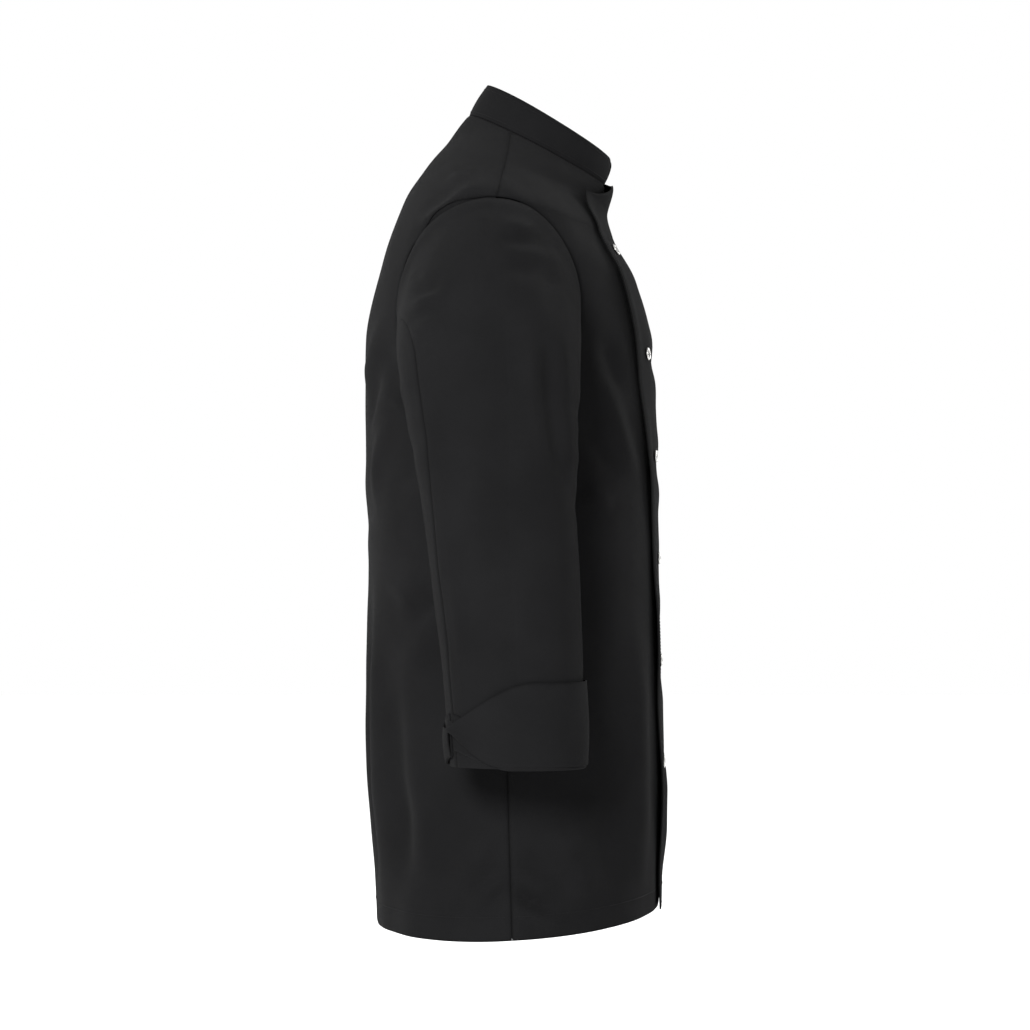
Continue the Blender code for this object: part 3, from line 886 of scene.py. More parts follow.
class Graph:
    """Short way to place and join shader nodes."""

    def __init__(self, tree: bpy.types.NodeTree) -> None:
        """Takes the tree that the nodes go in."""
        self.tree = tree

    def node(self, kind: str, operation: str | None = None, **inputs: object) -> bpy.types.Node:
        """Places a node.

        Args:
            kind: Its type, without the common prefix.
            operation: Its operation, where it has one.
            inputs: Values or output sockets for its inputs; _0 is the first input and so on.

        Returns:
            The node.
        """
        made = self.tree.nodes.new(f"ShaderNode{kind}")
        if operation is not None:
            made.operation = operation
        self.fill(made, inputs)
        return made

    def group(self, tree: bpy.types.NodeTree, **inputs: object) -> bpy.types.Node:
        """Places a node group.

        Args:
            tree: The group.
            inputs: Values or output sockets for its inputs.

        Returns:
            The node.
        """
        made = self.tree.nodes.new("ShaderNodeGroup")
        made.node_tree = tree
        self.fill(made, inputs)
        return made

    def fill(self, node: bpy.types.Node, inputs: dict[str, object]) -> None:
        """Joins or sets the inputs of a node.

        Args:
            node: The node.
            inputs: Values or output sockets by name, or by number after a line.
        """
        for name, value in inputs.items():
            key = int(name[1:]) if name[0] == "_" else name.replace("_", " ")
            if isinstance(value, bpy.types.NodeSocket):
                self.join(value, node.inputs[key])
            else:
                node.inputs[key].default_value = value

    def join(self, output: bpy.types.NodeSocket, target: bpy.types.NodeSocket) -> None:
        """Joins an output to an input."""
        self.tree.links.new(output, target)

    def noise(self, place: object, scale: float, detail: float) -> bpy.types.NodeSocket:
        """Output of a Noise Texture node."""
        return self.node("TexNoise", Vector=place, Scale=scale, Detail=detail).outputs["Fac"]

    def math(self, operation: str, first: object, second: object = 0.0) -> bpy.types.NodeSocket:
        """Output of one Math node."""
        return self.node("Math", operation, _0=first, _1=second).outputs[0]

    def product(self, *values: object) -> bpy.types.NodeSocket:
        """Product of two or more numbers.

        Args:
            values: Numbers or output sockets.

        Returns:
            Socket with the product.
        """
        result = values[0]
        for value in values[1:]:
            result = self.math("MULTIPLY", result, value)
        return result

    def ramp(
        self, value: object, low: float, high: float, to_low: float, to_high: float
    ) -> bpy.types.NodeSocket:
        """Output of a smooth Map Range node.

        Args:
            value: What is mapped.
            low: Value that gives to_low.
            high: Value that gives to_high.
            to_low: Result at low.
            to_high: Result at high.

        Returns:
            Socket with the result.
        """
        made = self.node("MapRange", _0=value, _1=low, _2=high, _3=to_low, _4=to_high)
        made.interpolation_type = "SMOOTHSTEP"
        return made.outputs[0]


def new_group(name: str, inputs: dict[str, float | None], outputs: Sequence[str]) -> tuple:
    """Starts a shader node group.

    Args:
        name: Its name.
        inputs: Default of each input, or None for a vector.
        outputs: Names of its outputs, which are numbers.

    Returns:
        The group, its graph, its input node's outputs and its output node's inputs.
    """
    tree = bpy.data.node_groups.new(name, "ShaderNodeTree")
    for label, default in inputs.items():
        kind = "NodeSocketVector" if default is None else "NodeSocketFloat"
        socket = tree.interface.new_socket(label, in_out="INPUT", socket_type=kind)
        if default is not None:
            socket.default_value = default
    for label in outputs:
        tree.interface.new_socket(label, in_out="OUTPUT", socket_type="NodeSocketFloat")
    start = tree.nodes.new("NodeGroupInput")
    end = tree.nodes.new("NodeGroupOutput")
    return tree, Graph(tree), start.outputs, end.inputs


def twill_group() -> bpy.types.NodeTree:
    """Twill weave: diagonal ribs of yarn, with its height and a tone for each yarn.

    Returns:
        The group.
    """
    tree, graph, given, result = new_group(
        "Twill weave", {"Grain": None, "Rib pitch": 0.0009}, ["Height", "Tone"]
    )
    split = graph.node("SeparateXYZ", Vector=given["Grain"])
    across = graph.math("DIVIDE", split.outputs["X"], given["Rib pitch"])
    along = graph.math("DIVIDE", split.outputs["Y"], given["Rib pitch"])
    jitter = graph.product(graph.noise(given["Grain"], 260.0, 1.0), 0.9)
    slanted = graph.math("ADD", across, graph.product(along, 1.6))
    diagonal = graph.math("ADD", slanted, jitter)
    rib = graph.math("SINE", graph.product(diagonal, 2.0 * math.pi))
    yarn = graph.math("SINE", graph.product(along, 4.0 * math.pi))
    height = graph.math("ADD", graph.product(rib, 0.5), graph.product(yarn, 0.2))
    slub = graph.noise(given["Grain"], 900.0, 2.0)
    tone = graph.math("ADD", graph.product(height, 0.35), slub)
    graph.join(height, result["Height"])
    graph.join(tone, result["Tone"])
    return tree


def cloth_wear_and_edge_shade_group() -> bpy.types.NodeTree:
    """Broad cloudiness of dyed cloth, edge nearness for polish and painted shade, and tight
    wrinkles beside seams.

    Returns:
        The group.
    """
    tree, graph, given, result = new_group(
        "Cloth wear and edge shade",
        {"Place": None, "Edge distance": 1.0, "Edge width": 0.0016, "Pucker": 1.0},
        ["Clouds", "Edge", "Height"],
    )
    near = graph.math("DIVIDE", given["Edge distance"], given["Edge width"])
    # Nearness to an edge, 1 on it: it sets the edges' polish and their painted shade.
    edge = graph.math("POWER", math.e, graph.product(near, -1.0))
    wrinkles = graph.noise(given["Place"], 110.0, 1.0)
    beside = graph.ramp(given["Edge distance"], 0.0, 0.012, 1.0, 0.0)
    graph.join(graph.noise(given["Place"], 14.0, 4.0), result["Clouds"])
    graph.join(edge, result["Edge"])
    graph.join(graph.product(wrinkles, beside, given["Pucker"]), result["Height"])
    return tree


def scratch_group() -> bpy.types.NodeTree:
    """Fine rubbing marks, as a roughness and a height.

    Returns:
        The group.
    """
    tree, graph, given, result = new_group(
        "Rubbing marks",
        {"Place": None, "Amount": 1.0},
        ["Roughness", "Height"],
    )
    fine = graph.noise(given["Place"], 1400.0, 3.0)
    both = graph.math("ADD", fine, graph.noise(given["Place"], 160.0, 2.0))
    rough = graph.ramp(both, 0.7, 1.3, POLISHED, RUBBED)
    graph.join(graph.product(rough, given["Amount"]), result["Roughness"])
    graph.join(fine, result["Height"])
    return tree


def principled(name: str) -> tuple[bpy.types.Material, Graph, bpy.types.Node]:
    """A new material, its graph and its shader.

    Args:
        name: The material's name.

    Returns:
        The material, its graph and its shader.
    """
    material = bpy.data.materials.new(name)
    material.use_nodes = True
    shader = material.node_tree.nodes["Principled BSDF"]
    return material, Graph(material.node_tree), shader


def tinted(graph: Graph, shader: bpy.types.Node, colour: tuple, share: object) -> None:
    """Gives a shader a colour that is lighter and darker from place to place.

    Args:
        graph: The material's graph.
        shader: Its shader.
        colour: The colour.
        share: Socket with the colour's share at each place.
    """
    scaled = graph.node("VectorMath", "SCALE", _0=colour, Scale=share)
    graph.join(scaled.outputs[0], shader.inputs["Base Color"])


def bumped(
    graph: Graph, shader: bpy.types.Node, height: object, strength: float, distance: float
) -> None:
    """Gives a shader a fine relief.

    Args:
        graph: The material's graph.
        shader: Its shader.
        height: Socket with the relief's height.
        strength: How strongly it shows.
        distance: Height that a value of 1 stands for.
    """
    bump = graph.node("Bump", Height=height, Strength=strength, Distance=distance)
    graph.join(bump.outputs["Normal"], shader.inputs["Normal"])


@dataclass(frozen=True)
class TwillFinish:
    """Matte black twill, with painted shade at its seams and edges."""

    name: str
    colour: tuple[float, float, float] = (0.0042, 0.0042, 0.0044)
    rib_pitch: float = 0.0009
    weave_height: float = 0.00012
    pucker: float = 1.0
    pucker_height: float = 0.0009
    gloss: float = 0.014
    sheen: float = 0.007
    sheen_roughness: float = 0.45

    def build(self, weave: bpy.types.NodeTree, wear: bpy.types.NodeTree) -> bpy.types.Material:
        """Makes the material.

        Args:
            weave: The twill weave group.
            wear: The cloth wear and edge shade group.

        Returns:
            The material.
        """
        material, graph, shader = principled(self.name)
        grain = graph.node("UVMap")
        grain.uv_map = GRAIN_MAP
        place = graph.node("TexCoord").outputs["Object"]
        distance = graph.node("Attribute")
        distance.attribute_name = EDGE_DISTANCE
        twill = graph.group(weave, Grain=grain.outputs["UV"], Rib_pitch=self.rib_pitch)
        worn = graph.group(
            wear, Place=place, Edge_distance=distance.outputs["Fac"], Pucker=self.pucker
        )
        clouds = graph.ramp(worn.outputs["Clouds"], 0.3, 0.7, 0.90, 1.10)
        tone = graph.ramp(twill.outputs["Tone"], 0.1, 0.9, 0.80, 1.20)
        # Painted shade: the cloth's colour darkens to 0.55 of itself at its seams and edges.
        edge_shade = graph.ramp(worn.outputs["Edge"], 0.0, 1.0, 1.0, 0.55)
        tinted(graph, shader, self.colour, graph.product(clouds, tone, edge_shade))
        rough = graph.ramp(worn.outputs["Edge"], 0.0, 1.0, 0.86, 0.80)
        graph.join(rough, shader.inputs["Roughness"])
        shader.inputs["Specular IOR Level"].default_value = self.gloss
        shader.inputs["Sheen Weight"].default_value = self.sheen
        shader.inputs["Sheen Roughness"].default_value = self.sheen_roughness
        height = graph.math(
            "ADD",
            graph.product(twill.outputs["Height"], self.weave_height),
            graph.product(worn.outputs["Height"], self.pucker_height),
        )
        bumped(graph, shader, height, 0.8, 1.0)
        return material


@dataclass(frozen=True)
class ThreadFinish:
    """Black sewing thread, a little glossier than the cloth."""

    name: str = "black_thread"
    colour: tuple[float, float, float] = (0.0030, 0.0030, 0.0032)
    roughness: float = 0.6
    gloss: float = 0.08

    def build(self) -> bpy.types.Material:
        """Makes the material.

        Returns:
            The material.
        """
        material, graph, shader = principled(self.name)
        place = graph.node("TexCoord").outputs["Object"]
        twist = graph.noise(place, 2600.0, 1.0)
        tinted(graph, shader, self.colour, graph.ramp(twist, 0.3, 0.7, 0.75, 1.3))
        shader.inputs["Roughness"].default_value = self.roughness
        shader.inputs["Specular IOR Level"].default_value = self.gloss
        bumped(graph, shader, twist, 0.5, 0.0001)
        return material


@dataclass(frozen=True)
class NickelFinish:
    """Polished nickel plate with fine rubbing marks."""

    name: str = "nickel_plate"
    colour: tuple[float, float, float] = (0.46, 0.455, 0.44)

    def build(self, marks: bpy.types.NodeTree) -> bpy.types.Material:
        """Makes the material.

        Args:
            marks: The rubbing marks group.

        Returns:
            The material.
        """
        material, graph, shader = principled(self.name)
        place = graph.node("TexCoord").outputs["Object"]
        rubbed = graph.group(marks, Place=place, Amount=1.0)
        tint = graph.ramp(rubbed.outputs["Roughness"], POLISHED, RUBBED, 1.0, 0.82)
        tinted(graph, shader, self.colour, tint)
        shader.inputs["Metallic"].default_value = 1.0
        graph.join(rubbed.outputs["Roughness"], shader.inputs["Roughness"])
        bumped(graph, shader, rubbed.outputs["Height"], 0.12, 0.00005)
        return material


@dataclass
class Finishes:
    """Every finish of the jacket, built once."""

    body: bpy.types.Material
    firm: bpy.types.Material
    thread: bpy.types.Material
    nickel: bpy.types.Material

    @classmethod
    def build(cls) -> Finishes:
        """Makes the groups and the materials.

        Returns:
            The set of finishes.
        """
        weave, wear, marks = twill_group(), cloth_wear_and_edge_shade_group(), scratch_group()
        faced = TwillFinish("black_twill_faced", weave_height=0.0001, pucker=0.6)
        return cls(
            body=TwillFinish("black_twill").build(weave, wear),
            firm=faced.build(weave, wear),
            thread=ThreadFinish().build(),
            nickel=NickelFinish().build(marks),
        )


# ---- Torso panels ----


class PanelLine(NamedTuple):
    """Line that a panel ends on, over the panel's grid.

    function is 0 on it, step moves a point onto it, distance is how far inside a point lies, and
    near is true for the points that are moved onto it.
    """

    function: Callable[[Array, Array], Array]
    step: Array
    distance: Array
    near: Array


@dataclass
class TorsoPanel:
    """One panel of the torso, cut out of its form.

    behind is 1 for a panel behind the side seams and -1 for one in front of them. edge_share is
    how near to a line a grid point is moved onto it, as a share of the grid's spacing.
    """

    form: TorsoForm
    name: str
    folds: Sequence[Fold]
    seed: int
    behind: float = -1.0
    cell: float = 0.0036
    shoulder_cell: float = 0.0017
    shoulder_from: float = -0.085
    seam_half_gap: float = 0.00004
    least_slope: float = 0.15
    edge_share: float = 0.56

    def rows(self) -> Array:
        """Keys of the rows, closer together on the shoulders where the form is flatter.

        Returns:
            Keys from the hem up to the neck.
        """
        start, hem = self.shoulder_from, self.form.hem
        below = np.linspace(hem, start, round((start - hem) / self.cell))
        above = np.linspace(start, self.form.neck, round(-start / self.shoulder_cell))
        return np.concatenate([below, above[1:]])

    def columns(self, key: Array) -> Array:
        """Places round the torso of each row's columns."""
        raise NotImplementedError

    def levels(self) -> list[Callable[[Array, Array], Array]]:
        """Lines that the panel ends on: shoulder and side, armhole, hem and neck.

        Returns:
            Functions of a place that are above 0 inside the panel.
        """
        form, gap = self.form, self.seam_half_gap
        return [
            lambda around, key: self.behind * form.shoulder_gap(around, key) - gap,
            lambda around, key: form.armhole_gap(around, key) - gap,
            lambda around, key: key - form.hem,
            lambda around, key: form.neck - key,
        ]

    def smooth(self, around: Array, key: Array) -> tuple[Array, Array]:
        """Points and outward directions of the panel before its folds."""
        return self.form.point(around, key), self.form.normal(around, key)

    def surface(self, around: Array, key: Array) -> tuple[Array, Array]:
        """Points and outward directions of the panel with its folds."""
        points, normals = self.smooth(np.ravel(around), np.ravel(key))
        return lifted(points, normals, self.folds, Ripple(self.seed)), normals

    def _slopes(self, function: Callable, around: Array, key: Array) -> tuple[Array, Array, Array]:
        """Values of a level and its slopes in metres along the rows and columns.

        Args:
            function: The level.
            around: How far round each place lies.
            key: Height of the side at each place.

        Returns:
            Values, slopes by metre and metres by unit of both coordinates.
        """
        step = 0.002
        value = function(around, key)
        here = self.form.point(around, key)
        wide = np.linalg.norm(self.form.point(around + step, key) - here, axis=-1) / step
        back = np.where(key + step > self.form.neck, -step, step)
        tall = np.linalg.norm(self.form.point(around, key + back) - here, axis=-1) / step
        by_around = (function(around + step, key) - value) / step / np.maximum(wide, 1e-6)
        by_key = (function(around, key + back) - value) / back / np.maximum(tall, 1e-6)
        return value, np.stack([by_around, by_key]), np.stack([wide, tall])

    def _pin_corners(self, lines: list[PanelLine], upper_rows: Array) -> None:
        """Puts the point nearest to each crossing of the shoulder and armhole lines on both.

        Args:
            lines: The panel's lines, shoulder and armhole first.
            upper_rows: Whether each row is near the shoulder.
        """
        shoulder, armhole = lines[0], lines[1]
        both = np.abs(shoulder.distance) + np.abs(armhole.distance)
        half = both.shape[1] // 2
        for part in (slice(None, half), slice(half, None)):
            upper = np.where(upper_rows[:, None], both[:, part], 1.0)
            row, column = np.unravel_index(np.argmin(upper), upper.shape)
            if upper[row, column] < 1.5 * self.cell:
                for line in (shoulder, armhole):
                    line.near[:, part][row, column] = True

    def cut(self) -> ClothMesh:
        """Grid of the panel, trimmed and fitted to its edges, with its folds.

        Returns:
            The panel's outer face.
        """
        key_rows = self.rows()
        around = self.columns(key_rows)
        key = np.repeat(key_rows[:, None], around.shape[1], axis=1)
        grain = grain_of(self.form.point(around, key)[::-1])[::-1]
        valid, edge = np.ones(around.shape, bool), np.full(around.shape, 1.0)
        lines = []
        for function in self.levels():
            value, slope, scale = self._slopes(function, around, key)
            steepness = np.maximum(np.linalg.norm(slope, axis=0), self.least_slope)
            spacing = np.stack([np.gradient(around, axis=1), np.gradient(key, axis=0)]) * scale
            reach = np.abs(slope * spacing).max(axis=0) / steepness
            distance = value / steepness
            near = np.abs(distance) < self.edge_share * reach
            lines.append(PanelLine(function, slope / scale / steepness**2, distance, near))
        self._pin_corners(lines, key_rows > -0.1)
        for _ in range(5):
            for line in lines:
                value = line.function(around, key) * line.near
                around = around - value * line.step[0]
                key = np.minimum(key - value * line.step[1], self.form.neck)
        for line in lines:
            valid &= (line.distance > 0.0) | line.near
            edge = np.minimum(edge, np.where(line.near, 0.0, np.abs(line.distance)))
        points, normals = self.surface(around, key)
        points = grooved(points, normals, edge)
        faces = grid_cells(valid)
        points, faces, grain, edge = compact(points, faces, grain.reshape(-1, 2), edge.reshape(-1))
        return ClothMesh(points, faces, grain, edge)


@dataclass
class BackPanel(TorsoPanel):
    """The one-piece back, with the turned-in allowances of its seams."""

    behind: float = 1.0
    allowance: float = 0.024
    allowance_rows: int = 5
    armhole_scales: tuple[float, ...] = (1.05, 1.02, 0.99, 0.965)
    below_wall: float = 0.0016

    def cut(self) -> ClothMesh:
        """Grid of the panel, with a strip of cloth behind each seam.

        Returns:
            The panel's outer face, with the strips.
        """
        cloth = super().cut()
        form, rows = self.form, self.allowance_rows
        side_keys = np.linspace(form.hem + 0.002, form.armhole_low - 0.002, 120)
        shoulder_keys = np.linspace(form.armhole_top + 0.0005, form.neck - 0.0005, 40)
        shift = np.linspace(-self.allowance, self.allowance, rows)[:, None]
        for key in (side_keys, shoulder_keys):
            around = form.seam_around(key)[None, :] + shift
            cloth = self._with_strip(cloth, around, np.repeat(key[None, :], rows, axis=0))
        degrees = np.linspace(4.0, 356.0, 160)
        rings = [form.armhole_places(degrees, scale) for scale in self.armhole_scales]
        around, key = (np.array(values) for values in zip(*rings))
        return self._with_strip(cloth, around, key)

    def _with_strip(self, cloth: ClothMesh, around: Array, key: Array) -> ClothMesh:
        """Adds a strip on both sides of the jacket, just below the cloth.

        Args:
            cloth: The panel so far.
            around: Places of the right strip's grid.
            key: Rows of the right strip's grid.

        Returns:
            The panel with both strips.
        """
        faces, grain = cloth.faces, cloth.grain
        points, edge = cloth.points, cloth.edge
        cells = grid_cells(np.ones(around.shape, bool))
        for side in (1.0, -1.0):
            place, normals = self.surface(side * around, key)
            place = place - normals * self.below_wall
            first, second, third = place[list(cells[0][:3])]
            outward = np.cross(second - first, third - first) @ normals[cells[0][0]]
            turned = cells if outward > 0.0 else [cell[::-1] for cell in cells]
            faces = faces + [tuple(corner + len(points) for corner in cell) for cell in turned]
            grain = np.vstack([grain, grain_of(place.reshape(*around.shape, 3)).reshape(-1, 2)])
            points, edge = np.vstack([points, place]), np.append(edge, np.full(len(place), 0.004))
        return ClothMesh(points, faces, grain, edge)

    def columns(self, key: Array) -> Array:
        """Places round the torso of each row's columns.

        Args:
            key: Keys of the rows.

        Returns:
            Places by row and column.
        """
        beyond = np.array([1.0125, 1.025, 1.0375, 1.05])
        around = np.concatenate([-beyond[::-1], np.linspace(-1.0, 1.0, 167), beyond])
        return np.repeat(around[None, :], len(key), axis=0)


@dataclass
class FrontUnder(TorsoPanel):
    """The wearer's right front, which runs on under the lap."""

    inner_x: float = 0.046

    def columns(self, key: Array) -> Array:
        """Places round the torso of each row's columns.

        Args:
            key: Keys of the rows.

        Returns:
            Places by row and column.
        """
        last = 2.0 + self.form.beyond_middle(key, np.full(key.shape, self.inner_x))
        ahead = 1.0 + (last[:, None] - 1.0) * np.linspace(0.0, 1.0, 93)[None, :]
        behind = np.repeat(np.linspace(0.75, 1.0, 21)[None, :-1], len(key), axis=0)
        return np.concatenate([behind, ahead], axis=1)


@dataclass
class FrontOver(TorsoPanel):
    """The wearer's left front, which laps over the right one to a free edge.

    lap_scale is the width in metres that one step of around takes up in front.
    """

    lap_scale: float = 0.28
    lift: float = 0.0028
    ramp: tuple[float, float] = (0.062, 0.094)
    drop: float = 0.022
    drop_from: float = -0.160
    flare: float = 0.0060
    flare_z: tuple[float, float] = (-0.066, -0.036)
    flare_x: tuple[float, float] = (0.022, 0.060)
    gape: float = 0.0046
    gape_reach: float = 0.030
    edge_table: SmoothTable = field(default_factory=lambda: SmoothTable(LAP_EDGE))

    def dropped(self, key: Array) -> Array:
        """How far the rows run down towards the free edge."""
        return self.drop * soft_step(self.drop_from, self.form.neck, key)

    def edge_around(self, key: Array) -> Array:
        """Place of the free edge on each row: below -2, which is past the middle of the front.

        Args:
            key: Keys of the rows.

        Returns:
            One place for each row.
        """
        lower = key - self.dropped(key)
        x = np.full(key.shape, LAP_EDGE[-1].x)
        for _ in range(5):
            beyond = self.form.beyond_middle(lower, -x)
            x = self.edge_table("x", self.form.point(-2.0 - beyond, lower)[..., 2])
        return -2.0 - self.form.beyond_middle(lower, -x)

    def columns(self, key: Array) -> Array:
        """Places round the torso of each row's columns.

        Args:
            key: Keys of the rows.

        Returns:
            Places by row and column.
        """
        first, side = self.edge_around(key), -1.0
        lap = first[:, None] + (-2.0 - first[:, None]) * np.linspace(0.0, 1.0, 31)[None, :]
        front = np.linspace(-2.0, side, 85)[1:]
        rest = np.concatenate([front, np.linspace(side, -0.75, 21)[1:]])
        return np.concatenate([lap, np.repeat(rest[None, :], len(key), axis=0)], axis=1)

    def levels(self) -> list[Callable[[Array, Array], Array]]:
        """Lines that the panel ends on, the free edge last."""
        free_edge = lambda around, key: (around - self.edge_around(key)) * self.lap_scale
        return [*super().levels(), free_edge]

    def smooth(self, around: Array, key: Array) -> tuple[Array, Array]:
        """Points and outward directions of the panel before its folds.

        Args:
            around: How far round each place lies.
            key: Height of the side at each place.

        Returns:
            Points and directions.
        """
        past = np.clip((-2.0 - around) / np.maximum(-2.0 - self.edge_around(key), 1e-3), 0.0, 1.0)
        lower = key - self.dropped(key) * past
        points, normals = self.form.point(around, lower), self.form.normal(around, lower)
        x, z = points[:, 0], points[:, 2]
        edge_x = self.edge_table("x", z)
        lift = self.lift * (1.0 - soft_step(*self.ramp, x))
        uneven = 0.7 + 0.3 * np.sin(41.0 * z + 1.73)
        lift += self.gape * uneven * (1.0 - soft_step(0.0, self.gape_reach, x - edge_x))
        near_neck = soft_step(*self.flare_z, z) * (1.0 - soft_step(*self.flare_x, x))
        lift += self.flare * near_neck
        return points + normals * lift[:, None], normals


# ---- Collar ----


@dataclass
class Collar:
    """Stand collar: its lower edge is the neck seam, its upper edge an oval that leans forward."""

    form: TorsoForm
    top_rx: float = 0.064
    top_ry: float = 0.0603
    top_y: float = -0.01275
    top_z: float = 0.0270
    slope: float = 0.6025
    end_deg: float = 177.5
    corner_deg: float = 14.0
    corner_share: float = 0.42
    belly: float = 0.0014
    tuck: float = 0.0024
    tuck_shares: tuple[float, float] = (-0.02, 0.035)
    tucked_rows: tuple[float, ...] = (-0.16, -0.08, -0.02)
    wall: float = 0.0022
    steps: int = 300
    levels: int = 14

    def surface(self, degrees: Array, share: Array) -> tuple[Array, Array]:
        """Points and outward directions of the collar's outer face.

        Args:
            degrees: 0 in the middle of the back, 90 at the right side.
            share: 0 at the neck seam, 1 at the upper edge.

        Returns:
            Points and directions.
        """
        turn = np.radians(degrees)
        seam = self.form.at_turn(degrees % 360.0, np.full(degrees.shape, self.form.neck))
        y = self.top_y + self.top_ry * np.cos(turn)
        z = self.top_z + self.slope * (y - self.top_y)
        top = np.stack([-self.top_rx * np.sin(turn), y, z], axis=-1)
        outwards = unit(seam * (1.0, 1.0, 0.0))
        uneven = 0.0006 * np.sin(degrees / 17.0) + 0.0005 * np.sin(degrees / 41.0 + 1.0)
        out = self.belly * np.sin(math.pi * np.clip(share, 0.0, 1.0)) + uneven * share
        out -= self.tuck * (1.0 - soft_step(*self.tuck_shares, share))
        share = share[..., None]
        return seam * (1.0 - share) + top * share + outwards * out[..., None], outwards

    def cut(self) -> ClothMesh:
        """Grid of the collar with rounded front corners.

        Returns:
            The collar's outer face.
        """
        degrees = self.end_deg * np.linspace(-1.0, 1.0, self.steps + 1)
        to_end = (self.end_deg - np.abs(degrees)) / self.corner_deg
        corner = 1.0 - np.sqrt(1.0 - np.clip(1.0 - to_end, 0.0, 1.0) ** 2)
        shown_rows = np.linspace(0.02, 1.0, self.levels + 1 - len(self.tucked_rows))
        rise = np.concatenate([self.tucked_rows, shown_rows])[:, None]
        share = np.where(rise > 0.0, rise * (1.0 - self.corner_share * corner), rise)
        degrees = np.repeat(degrees[None, :], self.levels + 1, axis=0)
        points, _ = self.surface(degrees, share)
        grain = grain_of(points).reshape(-1, 2)
        height = np.linalg.norm(points[-1] - points[0], axis=1)[None, :]
        level = np.linspace(0.0, 1.0, self.levels + 1)[:, None]
        edge = np.minimum(level, 1.0 - level) * height
        faces = grid_cells(np.ones(degrees.shape, bool))
        return ClothMesh(points.reshape(-1, 3), faces, grain, edge.reshape(-1))


# ---- Sleeves ----


class Ring(NamedTuple):
    """Section of the right sleeve below its cap, with the angles of its two seams."""

    z: float
    x: float
    y: float
    half_depth: float
    half_width: float
    rise: float
    elbow_deg: float
    forearm_deg: float


RINGS = (
    Ring(-0.240, -0.2590, 0.0430, 0.0805, 0.0510, 0.040, 56.0, 238.0),
    Ring(-0.290, -0.2625, 0.0398, 0.0755, 0.0510, 0.020, 55.0, 238.0),
    Ring(-0.340, -0.2660, 0.0360, 0.0702, 0.0500, 0.006, 59.0, 240.0),
    Ring(-0.420, -0.2720, 0.0290, 0.0664, 0.0485, 0.000, 63.0, 240.0),
    Ring(-0.500, -0.2770, 0.0232, 0.0630, 0.0465, 0.000, 63.0, 240.0),
    Ring(-0.578, -0.2810, 0.0195, 0.0605, 0.0440, 0.000, 63.0, 240.0),
)


